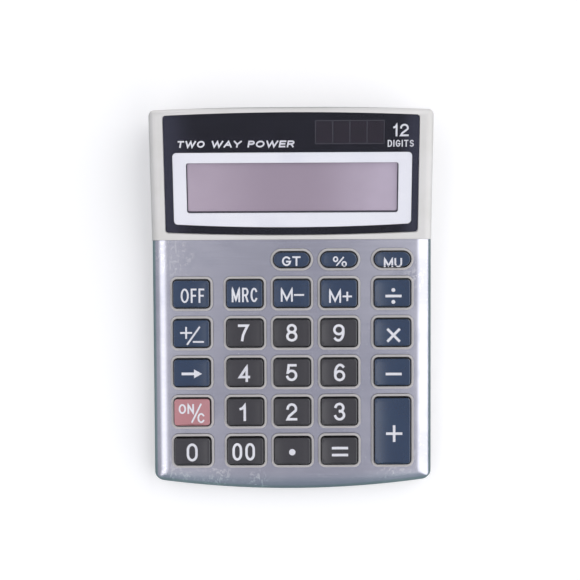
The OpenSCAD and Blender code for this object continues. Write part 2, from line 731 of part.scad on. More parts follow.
// A screw that points up from z = 0, with its head below; slot is the cross's length, width and depth
module screw(d, l, head_d, head_t, slot) {
    cylinder(d = d, h = l);
    translate([0, 0, -head_t]) difference() {
        cylinder(d = head_d, h = head_t);
        for (turn = [0, 90]) rotate(turn) translate([-slot[0] / 2, -slot[1] / 2, -CUT])
            cube([slot[0], slot[1], slot[2] + CUT]);
    }
}
module small_screw() screw(small_screw_d, small_screw_l, small_head_d, small_head_t, small_head_slot);
module lcd_screws() color([0.6, 0.6, 0.62]) on_hood()
    for (side = [-1, 1], p = ear_p) translate([side * ear_x, p, -ear_top - ear_t - 2 * FIT]) small_screw();

// Heat-seal ribbon: from under the front edge of the glass to the rear of the board
module lcd_ribbon() color([0.55, 0.4, 0.25]) {
    inner = hood_point(holder_p + ribbon_in, lcd_under - ribbon_lift);
    outer = hood_point(holder_p - ribbon_out, lcd_under - ribbon_lift);
    edge = deck_point(board_rear_v - board_rear_gap, board_depth - ribbon_t / 2 - FIT);
    landing = deck_point(board_rear_v - board_rear_gap - ribbon_landing, board_depth - ribbon_t / 2 - FIT);
    along_x(ribbon_w) strip([inner, outer, outer + ribbon_first_bend, edge + ribbon_last_bend, edge, landing],
        ribbon_t);
}
function hood_point(p, depth) = [
    seam_y + p * cos(hood_tilt) + depth * sin(hood_tilt),
    seam_z + hood_step + p * sin(hood_tilt) - depth * cos(hood_tilt)
];
function deck_point(v, depth) = [
    front_y + v * cos(deck_tilt) + depth * sin(deck_tilt),
    front_h + v * sin(deck_tilt) - depth * cos(deck_tilt)
];
// A bent strip of thickness t along the points, its corners mitred
function unit(v) = v / norm(v);
function side_of(v) = [-v[1], v[0]];
function strip_normal(path, i) = let (
    before_i = side_of(unit(path[max(i, 1)] - path[max(i, 1) - 1])),
    after_i = side_of(unit(path[min(i + 1, len(path) - 1)] - path[min(i, len(path) - 2)])),
    mean = unit(before_i + after_i)
) mean / (mean * after_i);
module strip(path, t) polygon(concat(
    [for (i = [0:len(path) - 1]) path[i] + strip_normal(path, i) * t / 2],
    [for (i = [len(path) - 1:-1:0]) path[i] - strip_normal(path, i) * t / 2]
));

module solar_cell() color([0.2, 0.17, 0.22]) on_hood() translate([solar_x, 0, 0])
    slab(solar_w + 2 * solar_edge, solar_l + 2 * solar_edge, solar_t, film_under + FIT, solar_p - solar_edge);

// ---- wires ------------------------------------------------------------------------

// A tube along the points; turn is the direction square to the plane that they lie in
module tube(path, r, turn, sides) {
    n = len(path);
    rings = [for (i = [0:n - 1]) let (
        t = unit(path[min(i + 1, n - 1)] - path[max(i - 1, 0)]),
        a = unit(cross(turn, t)),
        b = cross(t, a)
    ) for (j = [0:sides - 1]) path[i] + r * (a * cos(360 * j / sides) + b * sin(360 * j / sides))];
    faces = concat(
        [[for (j = [0:sides - 1]) j]],
        [for (i = [0:n - 2], j = [0:sides - 1]) let (k = (j + 1) % sides)
            each [[i * sides + j, (i + 1) * sides + k, i * sides + k],
                [i * sides + j, (i + 1) * sides + j, (i + 1) * sides + k]]],
        [[for (j = [sides - 1:-1:0]) (n - 1) * sides + j]]
    );
    polyhedron(rings, faces, convexity = 4);
}
// The route's [y, z] points at x
function in_plane(x, route) = [for (at = route) [x, at[0], at[1]]];
function wire_colour(red) = red ? RED_WIRE : BLACK_WIRE;

module battery_wires() for (side = [-1, 1]) color(wire_colour(side > 0))
    tube(in_plane(side * battery_wire_x, battery_route), wire_r, [1, 0, 0], wire_sides);

module solar_wires() for (i = [0, 1]) color(wire_colour(i > 0))
    tube(concat(in_plane(solar_pad_x[i], solar_start), in_plane(solar_wire_x[i], solar_descent)),
        wire_r, [1, 0, 0], wire_sides);

// ---- key mat and circuit board ----------------------------------------------------

module key_mat() color([0.75, 0.76, 0.75]) on_deck() difference() {
    union() {
        slab(board_w, board_l - mat_rear_gap, mat_t, mat_top - FIT, board_front_v);
        for (k = KEYS) translate([key_x(k), key_v(k), -mat_top - FIT])
            cylinder(r1 = dome_r, r2 = dome_top_r, h = mat_top - dome_top);
    }
    for (k = KEYS) translate([key_x(k), key_v(k), -board_depth - CUT])
        cylinder(r1 = dome_r - dome_wall, r2 = pad_r + dome_top_wall, h = board_depth + CUT - pad_top);
    for (at = board_screws_at) translate([at[0], at[1], -board_depth - CUT])
        cylinder(r = board_post_r + LOOSE, h = mat_t + 2 * CUT);
}
module carbon_pads() color([0.08, 0.08, 0.08]) on_deck() for (k = KEYS)
    translate([key_x(k), key_v(k), -pad_under]) cylinder(r = pad_r, h = pad_t - FIT);

module main_board() color([0.1, 0.35, 0.2]) on_deck() difference() {
    slab(board_w, board_l, board_t, board_depth, board_front_v);
    for (at = board_screws_at) translate([at[0], at[1], -FAR / 4])
        cylinder(d = small_screw_d + 2 * LOOSE, h = FAR / 4);
}
module board_screws() color([0.6, 0.6, 0.62]) on_deck()
    for (at = board_screws_at) translate([at[0], at[1], -board_under - FIT]) small_screw();

// The cap of a sphere under the board
module chip_blob() color([0.05, 0.05, 0.05]) on_deck() translate([0, blob_v, -board_under - FIT])
    rotate([180, 0, 0]) intersection() {
        cylinder(r = blob_r, h = blob_h);
        translate([0, 0, blob_h - bow_radius(blob_r, blob_h)])
            sphere(bow_radius(blob_r, blob_h), $fn = 2 * $fn);
    }
module capacitors() color([0.15, 0.2, 0.35]) on_deck() for (x = capacitor_x)
    translate([x, capacitor_v, -board_under - capacitor_d / 2 - FIT]) rotate([-90, 0, 0])
        cylinder(d = capacitor_d, h = capacitor_l);
module resistors() color([0.2, 0.2, 0.2]) on_deck() for (x = resistor_x)
    translate([x, resistor_v, -board_under - resistor_size[2] - FIT]) cube(resistor_size);

// ---- battery ----------------------------------------------------------------------

module battery_cell() color([0.75, 0.6, 0.3]) translate([cell_end_x, cell_y, cell_z]) rotate([0, -90, 0]) {
    cylinder(d = button_d, h = button_l + EPS);
    translate([0, 0, button_l]) cylinder(d = cell_d, h = cell_l - button_l);
}
module battery_insulator() color([0.9, 0.9, 0.85]) translate([cell_end_x - button_l, cell_y, cell_z])
    rotate([0, 90, 0]) translate([0, 0, FIT]) difference() {
        cylinder(d = cell_d - 2 * insulator_rim, h = insulator_t);
        translate([0, 0, -CUT]) cylinder(d = button_d + 2 * LOOSE, h = insulator_t + 2 * CUT);
    }
module contact(side)
    translate([side > 0 ? contact_x - contact_t : -contact_x, cell_y - contact_w / 2, cell_z + contact_low])
        cube([contact_t, contact_w, contact_h]);
module contact_plate() color([0.8, 0.8, 0.82]) contact(1);
module contact_spring() color([0.8, 0.8, 0.82]) {
    contact(-1);
    foot_x = -contact_x + contact_t + spring_wire_r - spring_weld;
    tip_x = cell_end_x - cell_l - spring_wire_r - FIT;
    steps = spring_steps * spring_turns;
    tube([for (i = [0:steps]) let (
        share = i / steps,
        r = spring_foot_r + (spring_tip_r - spring_foot_r) * share,
        a = 360 * spring_turns * share
    ) [foot_x + (tip_x - foot_x) * share, cell_y + r * cos(a), cell_z + r * sin(a)]],
        spring_wire_r, [1, 0, 0], spring_sides);
}
// A flat door with a tongue along each side and a lip that closes the rear wall
module battery_door() color([0.84, 0.83, 0.81]) difference() {
    intersection() {
        linear_extrude(FAR) plan(0);
        union() {
            translate([-door_w / 2, door_front_y, foot_rise]) cube([door_w, FAR, floor_t + FIT + tongue_t]);
            translate([-door_w / 2 - tongue_w, door_front_y, floor_z + FIT])
                cube([door_w + 2 * tongue_w, tongue_l, tongue_t]);
        }
    }
    for (y = [0:grip_pitch:grip_pitch * (grips - 1)])
        translate([-grip_w / 2, door_front_y + grip_start + y, foot_rise - CUT])
            cube([grip_w, grip_l, CUT + grip_depth]);
}

// ---- screws and feet --------------------------------------------------------------

module case_screws() color([0.55, 0.55, 0.58]) for (at = case_screws_at)
    translate([at[0], at[1], parting_z(at[1]) - screw_web - FIT])
        screw(screw_d, screw_l, screw_head_d, head_t, head_slot);
module rubber_feet() color([0.12, 0.12, 0.12]) for (at = feet_at)
    translate([at[0], at[1], 0]) cylinder(d = foot_d, h = foot_rise + foot_sink - FIT);

for (k = KEYS) key(k);
upper_case();
lower_case();
faceplate();
display_window();
window_mask();
lcd_surround();
lcd_glass();
lcd_reflector();
lcd_holder();
lcd_screws();
lcd_ribbon();
solar_cell();
solar_wires();
key_mat();
carbon_pads();
main_board();
board_screws();
chip_blob();
capacitors();
resistors();
battery_door();
battery_cell();
battery_insulator();
contact_plate();
contact_spring();
battery_wires();
case_screws();
rubber_feet();
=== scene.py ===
import json
import math

import bmesh
import bpy
import numpy as np
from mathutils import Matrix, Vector, geometry


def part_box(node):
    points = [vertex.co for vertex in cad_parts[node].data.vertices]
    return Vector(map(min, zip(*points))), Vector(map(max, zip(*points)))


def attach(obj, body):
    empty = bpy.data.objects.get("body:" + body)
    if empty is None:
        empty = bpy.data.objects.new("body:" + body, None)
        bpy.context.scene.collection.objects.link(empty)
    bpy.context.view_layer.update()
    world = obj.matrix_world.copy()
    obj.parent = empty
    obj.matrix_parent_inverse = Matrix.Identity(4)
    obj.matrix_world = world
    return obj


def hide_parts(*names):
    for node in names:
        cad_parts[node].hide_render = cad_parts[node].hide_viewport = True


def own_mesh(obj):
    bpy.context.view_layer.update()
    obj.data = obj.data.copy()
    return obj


# Desk calculator. Lengths are in millimetres, and turn into metres as a mesh is made.
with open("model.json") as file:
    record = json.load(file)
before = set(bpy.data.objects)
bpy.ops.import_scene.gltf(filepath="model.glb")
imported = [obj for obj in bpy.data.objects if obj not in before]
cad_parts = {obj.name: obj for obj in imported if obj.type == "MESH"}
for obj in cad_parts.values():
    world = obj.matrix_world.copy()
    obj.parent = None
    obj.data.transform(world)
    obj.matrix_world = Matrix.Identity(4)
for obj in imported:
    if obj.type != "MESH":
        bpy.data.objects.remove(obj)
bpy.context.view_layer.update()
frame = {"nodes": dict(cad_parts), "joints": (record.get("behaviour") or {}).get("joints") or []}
NODES = frame["nodes"]
MM = 0.001


def box_mm(node):
    """A node's lowest and highest corners in millimetres."""
    low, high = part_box(node)
    return np.array(low) / MM, np.array(high) / MM


# ---- sizes, from the frame where it has them ----

CASE_LOW, CASE_HIGH = box_mm("lower_case")
BODY_W = CASE_HIGH[0] - CASE_LOW[0]
FRONT_Y = CASE_LOW[1]
LOOSE = 0.1
SEAM_Y = box_mm("faceplate")[1][1] + LOOSE
PRESS_AXIS = next(joint for joint in frame["joints"] if joint["name"].endswith("_press"))["axis"]
DECK_TILT = math.asin(PRESS_AXIS[1])
HOOD_TILT = math.radians(13)
FRONT_H = 12.2
HOOD_STEP = 0.4
FRONT_BOW = 3.9
FRONT_CORNER_R = 4.0
SIDE_ROLL_R = 4.3
FRONT_ROLL_L = 7.5
PLATE_T = 0.5
SKIRT_H = 5.0

# Depths count down from the faceplate's face, and in the display from the hood's
KEY_R = 1.3
KEY_RISE = 2.6
DISH_R = 55.0
FLANGE_REACH = 1.1
FLANGE_TOP, FLANGE_UNDER = 2.35, 3.15
KEY_GAP = 0.5
COLLAR_T = 0.85

WINDOW_INSET, WINDOW_T = 0.1, 1.0
WINDOW_UNDER = WINDOW_INSET + WINDOW_T
FILM_T = 0.15
FILM_UNDER = WINDOW_UNDER + FILM_T
WINDOW_BOW, WINDOW_R = 1.1, 1.2
SURROUND_T = 1.0
SURROUND_UNDER = WINDOW_UNDER + SURROUND_T
SURROUND_BOW, SURROUND_R = 1.3, 1.5
VIEW_SIDE, VIEW_FRONT, VIEW_REAR, VIEW_R = 5.0, 5.5, 3.9, 1.0
SEAT = 0.05
LCD_TOP = SURROUND_UNDER + SEAT
SOLAR_TOP, SOLAR_T = FILM_UNDER + SEAT, 1.1
SOLAR_EDGE = 0.5


class Plane:
    """A sloped face of the case: u to the right, v up the slope, w out of the face."""

    def __init__(self, y, z, tilt):
        self.y, self.z, self.tilt = y, z, tilt

    def place(self, points):
        u, v, w = np.asarray(points, float).T
        c, s = math.cos(self.tilt), math.sin(self.tilt)
        return np.stack([u, self.y + v * c - w * s, self.z + v * s + w * c], axis=1)

    def up(self, y, depth):
        """How far up the slope a place along the case lies, at a depth under the face."""
        return (y - self.y - depth * math.sin(self.tilt)) / math.cos(self.tilt)


DECK = Plane(FRONT_Y, FRONT_H, DECK_TILT)
SEAM_Z = FRONT_H + (SEAM_Y - FRONT_Y) * math.tan(DECK_TILT)
HOOD = Plane(SEAM_Y, SEAM_Z + HOOD_STEP, HOOD_TILT)


# ---- outlines ----

CORNER_STEPS = 8
BOW_STEPS = 30
CIRCLE_STEPS = 32
LEAST_R = 0.5
SHARP_R = 0.01
SAME_PLACE = 1e-6


def arc(centre, rx, ry, start, end, steps):
    """Points on an ellipse, from one angle to another in degrees, both ends included."""
    a = np.radians(np.linspace(start, end, steps + 1))
    return np.stack([centre[0] + rx * np.cos(a), centre[1] + ry * np.sin(a)], axis=1)


def bowed_edge(w, bow, r, inset, rear_y=None):
    """Front edge of a bowed outline, left to right with its corners, or its rear edge, right to left."""
    big = ((w / 2) ** 2 + bow * bow) / (2 * bow)
    small = max(r - inset, LEAST_R)
    cx = w / 2 - inset - small
    cy = math.sqrt((big - inset - small) ** 2 - cx * cx)
    turn = math.degrees(math.atan2(cy, cx))
    left = arc((-cx, big - cy), small, small, 180, 180 + turn, CORNER_STEPS)
    front = arc((0, big), big - inset, big - inset, 180 + turn, 360 - turn, BOW_STEPS)[1:-1]
    right = arc((cx, big - cy), small, small, -turn, 0, CORNER_STEPS)
    edge = np.concatenate([left, front, right])
    return edge if rear_y is None else np.array([0, rear_y]) + edge * (-1, -1)


def bowed(w, l, bows, r, inset=0.0):
    """Outline from y = 0 to l with bowed front and rear edges, moved inwards by inset."""
    return np.concatenate([bowed_edge(w, bows[0], r[0], inset), bowed_edge(w, bows[1], r[1], inset, l)])


def rounded(w, d, r, steps=CORNER_STEPS):
    """A rectangle with round corners about (0, 0)."""
    r = min(r, w / 2, d / 2)
    x, y = w / 2 - r, d / 2 - r
    corners = ((x, -y, -90), (x, y, 0), (-x, y, 90), (-x, -y, 180))
    return np.concatenate([arc((cx, cy), r, r, a, a + 90, steps) for cx, cy, a in corners])


def circle(r, steps=CIRCLE_STEPS):
    return arc((0, 0), r, r, 0, 360, steps)[:-1]


def flat(outline, w):
    """An outline's points at one height."""
    return np.column_stack([outline, np.full(len(outline), float(w))])


def level(w):
    """A function that gives every point one height."""
    return lambda points: np.full(len(points), float(w))


def inside(points, loop):
    """Which points lie in a closed loop."""
    x, y = points[:, 0][:, None], points[:, 1][:, None]
    a, b = loop, np.roll(loop, -1, axis=0)
    spans = (a[:, 1] > y) != (b[:, 1] > y)
    # A level edge spans no point, so its rise may be anything but 0
    rise = np.where(b[:, 1] == a[:, 1], 1, b[:, 1] - a[:, 1])
    crossing = a[:, 0] + (y - a[:, 1]) * (b[:, 0] - a[:, 0]) / rise
    return np.sum(spans & (x < crossing), axis=1) % 2 == 1


def triangulated(points, edges):
    """Triangles over points that keep to the edges, with the points that their crossings add."""
    verts, _, faces, *_ = geometry.delaunay_2d_cdt([Vector(p) for p in points], edges, [], 0, SAME_PLACE)
    return np.array([tuple(v) for v in verts]), np.array([f for f in faces if len(f) == 3])


def loop_edges(start, n):
    return [(start + i, start + (i + 1) % n) for i in range(n)]


def fill(outer, holes=(), spare=None):
    """Triangles between an outline, its holes and spare points inside it."""
    loops = [outer, *holes]
    starts = np.cumsum([0] + [len(loop) for loop in loops])
    edges = [e for start, loop in zip(starts, loops) for e in loop_edges(int(start), len(loop))]
    verts, faces = triangulated(np.concatenate(loops + ([] if spare is None else [spare])), edges)
    middle = verts[faces].mean(axis=1)
    keep = inside(middle, outer)
    for hole in holes:
        keep &= ~inside(middle, hole)
    return verts, faces[keep]


# ---- meshes ----

# Distances under which points are joined: in meshes made here, and in meshes from the CAD
WELD, CAD_WELD = 1e-4, 1e-3
SHARP_ANGLE = 35
LEAST_AREA = 1e-12


class Shape:
    """Collects points and faces of one mesh."""

    def __init__(self):
        self.points, self.faces, self.count = [], [], 0

    def add(self, points, faces):
        self.points.append(np.asarray(points, float))
        self.faces += [tuple(int(i) + self.count for i in f) for f in faces]
        self.count += len(points)

    def rings(self, rings, closed=True):
        """Quads between loops of equally many points."""
        n = len(rings[0])
        sides = [(i, (i + 1) % n) for i in range(n if closed else n - 1)]
        starts = range(0, n * (len(rings) - 1), n)
        faces = [(a + i, a + j, a + n + j, a + n + i) for a in starts for i, j in sides]
        self.add(np.concatenate(rings), faces)

    def cap(self, outer, height, holes=(), spare=None):
        """A filled outline whose height is a function of its points."""
        verts, faces = fill(outer, holes, spare)
        self.add(np.column_stack([verts, height(verts)]), faces)

    def moved(self, place):
        """Puts all points through a function."""
        self.points = [place(points) for points in self.points]
        return self

    def build(self, name, sharp=SHARP_ANGLE):
        mesh = bpy.data.meshes.new(name)
        mesh.from_pydata((np.concatenate(self.points) * MM).tolist(), [], self.faces)
        bm = bmesh.new()
        bm.from_mesh(mesh)
        bmesh.ops.remove_doubles(bm, verts=bm.verts, dist=WELD * MM)
        bmesh.ops.dissolve_degenerate(bm, edges=bm.edges, dist=WELD * MM)
        bmesh.ops.recalc_face_normals(bm, faces=bm.faces)
        if sum(face.normal.z * face.calc_area() for face in bm.faces) < -LEAST_AREA:
            bmesh.ops.reverse_faces(bm, faces=bm.faces)
        bm.to_mesh(mesh)
        bm.free()
        return link(name, mesh, sharp)


def link(name, mesh, sharp=SHARP_ANGLE):
    mesh.shade_smooth()
    mesh.set_sharp_from_angle(angle=math.radians(sharp))
    obj = bpy.data.objects.new(name, mesh)
    bpy.context.scene.collection.objects.link(obj)
    return obj


def modifier(obj, kind, **values):
    m = obj.modifiers.new(kind.title(), kind)
    for key, value in values.items():
        setattr(m, key, value)
    return m


def applied(obj):
    """The object's mesh with its modifiers applied."""
    bpy.context.view_layer.update()
    graph = bpy.context.evaluated_depsgraph_get()
    mesh = bpy.data.meshes.new_from_object(obj.evaluated_get(graph))
    obj.modifiers.clear()
    obj.data = mesh
    return obj


def piece(obj, body, material, slot, *replaced):
    """Gives an object its look and its body, and the CAD nodes that it stands for."""
    obj.data.materials.clear()
    obj.data.materials.append(material)
    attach(obj, body)
    if replaced:
        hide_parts(*replaced)
    return obj


def soften(obj, width, segments=2, angle=40):
    """Rounds an object's sharp edges with modifiers."""
    modifier(obj, "WELD", merge_threshold=CAD_WELD * MM)
    modifier(obj, "BEVEL", width=width * MM, segments=segments, limit_method="ANGLE",
             angle_limit=math.radians(angle), harden_normals=False, use_clamp_overlap=True)
    modifier(obj, "WEIGHTED_NORMAL", keep_sharp=True)


# ---- materials ----


def srgb(r, g, b):
    """A colour in 0 to 255 as the linear values that a shader takes."""
    def linear(c):
        return c / 12.92 if c <= 0.04045 else ((c + 0.055) / 1.055) ** 2.4

    return (*[linear(c / 255) for c in (r, g, b)], 1.0)


# The share of a worn place's reach over which it is fully worn
FULL_SHARE = 0.3


# A mix node's colour sockets go by number, because its other sockets have the same names
MIX_A, MIX_B, MIX_RESULT = 6, 7, 2


class Tree:
    """Shorthand for the nodes of a material or of the world."""

    def __init__(self, tree, place):
        self.nodes, self.links = tree.nodes, tree.links
        self.place = self.nodes.new("ShaderNodeTexCoord").outputs[place]

    def give(self, socket, value):
        """Links a socket to another one, or sets it to a number or a colour."""
        if isinstance(value, bpy.types.NodeSocket):
            self.links.new(value, socket)
        else:
            socket.default_value = value

    def feed(self, node, **values):
        """Gives a node's inputs their values by name."""
        for name, value in values.items():
            self.give(node.inputs[name.replace("_", " ")], value)
        return node

    def add(self, kind, **values):
        return self.feed(self.nodes.new("ShaderNode" + kind), **values)

    def noise(self, scale, detail=2.0, roughness=0.5, stretch=(1, 1, 1)):
        place = self.add("Mapping", Vector=self.place, Scale=stretch).outputs["Vector"]
        node = self.add("TexNoise", Vector=place, Scale=scale, Detail=detail, Roughness=roughness)
        return node.outputs["Fac"]

    def ramp(self, value, low, high, to_low=0.0, to_high=1.0):
        node = self.add("MapRange", Value=value, From_Min=low, From_Max=high, To_Min=to_low, To_Max=to_high)
        node.interpolation_type = "SMOOTHSTEP"
        return node.outputs["Result"]

    def math(self, operation, a, b):
        node = self.nodes.new("ShaderNodeMath")
        node.operation = operation
        for socket, value in zip(node.inputs, (a, b)):
            self.give(socket, value)
        return node.outputs[0]

    def axis(self, name):
        return self.add("SeparateXYZ", Vector=self.place).outputs[name]

    def across(self, low, high, *to):
        """A ramp along X between two places in millimetres."""
        return self.ramp(self.axis("X"), low * MM, high * MM, *to)

    def mix(self, factor, a, b):
        """Mixes two colours, each a constant or a socket."""
        node = self.nodes.new("ShaderNodeMix")
        node.data_type = "RGBA"
        for socket, value in (("Factor", factor), (MIX_A, a), (MIX_B, b)):
            self.give(node.inputs[socket], value)
        return node.outputs[MIX_RESULT]

    def near(self, x, y, reach):
        """1 about a place on the object, falling to 0 at a distance. Lengths are in millimetres."""
        away = [self.math("SUBTRACT", self.axis(name), at * MM) for name, at in (("X", x), ("Y", y))]
        square = self.math("ADD", *(self.math("MULTIPLY", side, side) for side in away))
        return self.ramp(self.math("SQRT", square, 0.0), reach * MM, reach * MM * FULL_SHARE)

    def ray(self, kind):
        return self.nodes.new("ShaderNodeLightPath").outputs[kind]


class Material(Tree):
    """A Principled material and the nodes that vary it over the surface."""

    def __init__(self, name, base, **sockets):
        self.material = bpy.data.materials.new(name)
        self.material.use_nodes = True
        super().__init__(self.material.node_tree, "Object")
        self.shader = self.feed(self.nodes["Principled BSDF"], Base_Color=base, **sockets)

    def colour(self, socket):
        self.feed(self.shader, Base_Color=socket)

    def roughness(self, socket):
        self.feed(self.shader, Roughness=socket)

    def bump(self, height, strength, distance):
        node = self.add("Bump", Height=height, Strength=strength, Distance=distance * MM)
        self.feed(self.shader, Normal=node.outputs["Normal"])


def over_deck(m, low, high):
    """A ramp between two heights over the faceplate's flat face, in millimetres."""
    slope = math.tan(DECK_TILT)
    rise = m.math("MULTIPLY", m.axis("Y"), slope)
    height = m.math("SUBTRACT", m.math("SUBTRACT", m.axis("Z"), rise), (FRONT_H - FRONT_Y * slope) * MM)
    return m.ramp(height, low * MM, high * MM)


# Painted shade: the near-black that keys and collars turn to down in the gaps
GAP_PAINTED_SHADE = srgb(8, 8, 10)
COLLAR_GREY = srgb(194, 191, 190)


def painted_gap_shade(m, colour):
    """A key's colour with painted shade: dark down in the gap round it."""
    return m.mix(over_deck(m, 1.0, 0.3), colour, GAP_PAINTED_SHADE)


def grey_collars_painted_shade(m, colour):
    """The shell's colour, greyed on the collars round the keys, with painted shade down inside them."""
    before_hood = m.ramp(m.axis("Y"), SEAM_Y * MM, (SEAM_Y - 1) * MM)
    collar = m.math("MULTIPLY", over_deck(m, -1.0, -0.5), before_hood)
    # Painted shade: the collars darken down inside, towards the keys
    grey = m.mix(over_deck(m, 0.6, 0.15), COLLAR_GREY, GAP_PAINTED_SHADE)
    return m.mix(collar, colour, grey)


def moulded(name, base, worn, rough=0.4, grain=900.0, bump=0.35, spread=0.07, over=None, **sockets):
    """Moulded plastic: mottled colour and fine spark-eroded grain; over changes its colour in places, such
    as painted shade in gaps.
    """
    base, worn = srgb(*base), srgb(*worn)
    m = Material(name, base, Roughness=rough, **sockets)
    colour = m.mix(m.ramp(m.noise(60, 4, 0.6), 0.4, 0.75), base, worn)
    m.colour(over(m, colour) if over else colour)
    fine = m.noise(grain, 3, 0.6)
    m.roughness(m.ramp(fine, 0.25, 0.75, rough - spread, rough + spread))
    m.bump(fine, bump, 0.02)
    return m.material


# ---- materials of the parts ----

SHELL = moulded("cream_shell", (224, 222, 220), (218, 216, 212), 0.36, over=grey_collars_painted_shade)
CREAM_BASE = moulded("cream_plastic_matt", (204, 202, 199), (196, 193, 188), 0.5, 700, 0.6)
# Glossy key plastic; over paints shade down in the gap round each key
KEY_GLOSS = {
    "grain": 3500, "bump": 0.03, "spread": 0.02, "over": painted_gap_shade,
    "Specular_IOR_Level": 0.95, "Coat_Weight": 0.6, "Coat_Roughness": 0.14,
}
BLUE_KEY = moulded("blue_key_plastic", (10, 44, 78), (18, 51, 84), 0.22, **KEY_GLOSS)
DARK_KEY = moulded("dark_key_plastic", (38, 36, 42), (43, 41, 47), 0.22, **KEY_GLOSS)
PINK_KEY = moulded("pink_key_plastic", (184, 124, 129), (190, 132, 137), 0.25, **KEY_GLOSS)
WHITE_INK = moulded("white_ink", (226, 226, 232), (214, 214, 222), 0.5, 1500, 0.1)
# Dark plastic for the solar cell's backing, and for the frame that paints the shadow round the LCD
PAINTED_SHADOW_AND_CELL_BACK = moulded("painted_shadow_and_cell_back", (52, 50, 60), (60, 58, 68), 0.7)
SURROUND = moulded("white_surround", (244, 244, 250), (238, 238, 246), 0.5, 1200, 0.1)
TRAY = moulded("white_tray", (214, 214, 212), (206, 206, 203), 0.55)
SILICONE = moulded("grey_silicone", (172, 174, 172), (160, 163, 161), 0.65)
CARBON = moulded("carbon_rubber", (28, 28, 28), (36, 36, 36), 0.7)
EPOXY = moulded("black_epoxy", (18, 18, 19), (24, 24, 25), 0.25, 300, 0.3)
RUBBER = moulded("black_rubber", (32, 32, 33), (44, 43, 42), 0.75, 1200, 0.7)
RED_WIRE = moulded("red_wire", (150, 30, 28), (132, 26, 24), 0.4)
PAPER = moulded("insulating_paper", (206, 202, 186), (190, 185, 168), 0.8)
RIBBON = moulded("brown_ribbon", (132, 98, 60), (116, 84, 50), 0.35)
CAPACITOR = moulded("blue_sleeve", (38, 50, 92), (44, 58, 102), 0.35)
CHIP = moulded("resistor_body", (46, 46, 48), (60, 60, 62), 0.5)


def metal(name, base, worn, rough, brush=(1, 1, 1), scale=900.0):
    """Plain metal, brushed along the axis whose stretch is smallest."""
    base, worn = srgb(*base), srgb(*worn)
    m = Material(name, base, Metallic=1.0, Roughness=rough)
    lines = m.noise(scale, 3, 0.6, brush)
    m.colour(m.mix(m.ramp(lines, 0.3, 0.7), base, worn))
    m.roughness(m.ramp(lines, 0.25, 0.75, rough - 0.07, rough + 0.09))
    m.bump(lines, 0.3, 0.01)
    return m.material


STEEL = metal("screw_steel", (168, 168, 172), (150, 150, 154), 0.35)
NICKEL = metal("contact_nickel", (205, 203, 198), (190, 188, 182), 0.28, (0.1, 1, 1))
REFLECTOR = metal("reflector", (200, 200, 202), (190, 190, 193), 0.5)

# The light and middle colours paint a reflection: lighter to both sides, darker in the middle
PLATE_LIGHT, PLATE_DARK, PLATE_MIDDLE = srgb(226, 226, 237), srgb(218, 218, 231), srgb(207, 207, 219)
PLATE_CLOUDED, PLATE_WORN = srgb(192, 193, 208), srgb(244, 244, 250)
# Worn places on the faceplate: x, y and reach
WORN_PLACES = (
    (-46, 17, 11), (-44, -66, 11), (-30, -69, 9), (-14, -71, 7),
    (36, -65, 7), (44, -62, 7), (47, 8, 6), (-40, -42, 6),
)


def plate_material():
    """Brushed aluminium with a painted reflection that makes it brighter to both sides, with scratches and
    worn places.
    """
    m = Material("brushed_aluminium", PLATE_LIGHT, Metallic=1.0, Roughness=0.24)
    lines = m.noise(1600, 3, 0.65, (0.03, 1, 1))
    cloud = m.noise(42, 3, 0.55)
    # Painted reflection: lighter towards both sides, darker in the middle
    middle = m.math("MULTIPLY", m.across(-48, -12), m.across(50, 12))
    side_reflection_painted = m.mix(middle, PLATE_LIGHT, PLATE_MIDDLE)
    brushed = m.mix(m.ramp(lines, 0.2, 0.8, 0, 0.2), side_reflection_painted, PLATE_DARK)
    clouded = m.mix(m.ramp(cloud, 0.42, 0.66, 0, 0.5), brushed, PLATE_CLOUDED)
    places = 0.0
    for place in WORN_PLACES:
        places = m.math("MAXIMUM", m.near(*place), places)
    blobs = m.ramp(m.noise(520, 4, 0.7), 0.54, 0.6)
    scratches = m.ramp(m.noise(900, 2, 0.5, (1, 0.12, 1)), 0.62, 0.66)
    worn = m.math("MULTIPLY", m.math("MAXIMUM", blobs, scratches), places)
    specks = m.math("MULTIPLY", m.ramp(m.noise(1500, 2, 0.5), 0.68, 0.72), m.ramp(cloud, 0.5, 0.6))
    m.colour(m.mix(m.math("MAXIMUM", worn, specks), clouded, PLATE_WORN))
    m.roughness(m.ramp(lines, 0.25, 0.75, 0.215, 0.265))
    m.bump(lines, 0.06, 0.004)
    return m.material


def mask_material():
    """The black print under the window, lightened towards both sides by a painted reflection."""
    dark, side_reflection_grey = srgb(15, 14, 22), srgb(56, 57, 72)
    m = Material("black_print", dark, Roughness=0.6, Specular_IOR_Level=0.1)
    # Painted reflection: the print turns grey towards both sides
    sides = m.math("MAXIMUM", m.across(-36, -49, 0, 0.75), m.across(40, 49))
    clouded = m.mix(m.ramp(m.noise(90, 3, 0.6), 0.4, 0.7), dark, srgb(20, 19, 28))
    m.colour(m.mix(sides, clouded, side_reflection_grey))
    return m.material


def window_material():
    """Clear acrylic: a faint mirror over what lies beneath, with smears in its polish."""
    m = Material("clear_acrylic", (0.8, 0.82, 1, 1), Metallic=1.0, Roughness=0.04, Alpha=0.022)
    m.roughness(m.ramp(m.noise(70, 4, 0.6), 0.45, 0.75, 0.03, 0.09))
    return m.material


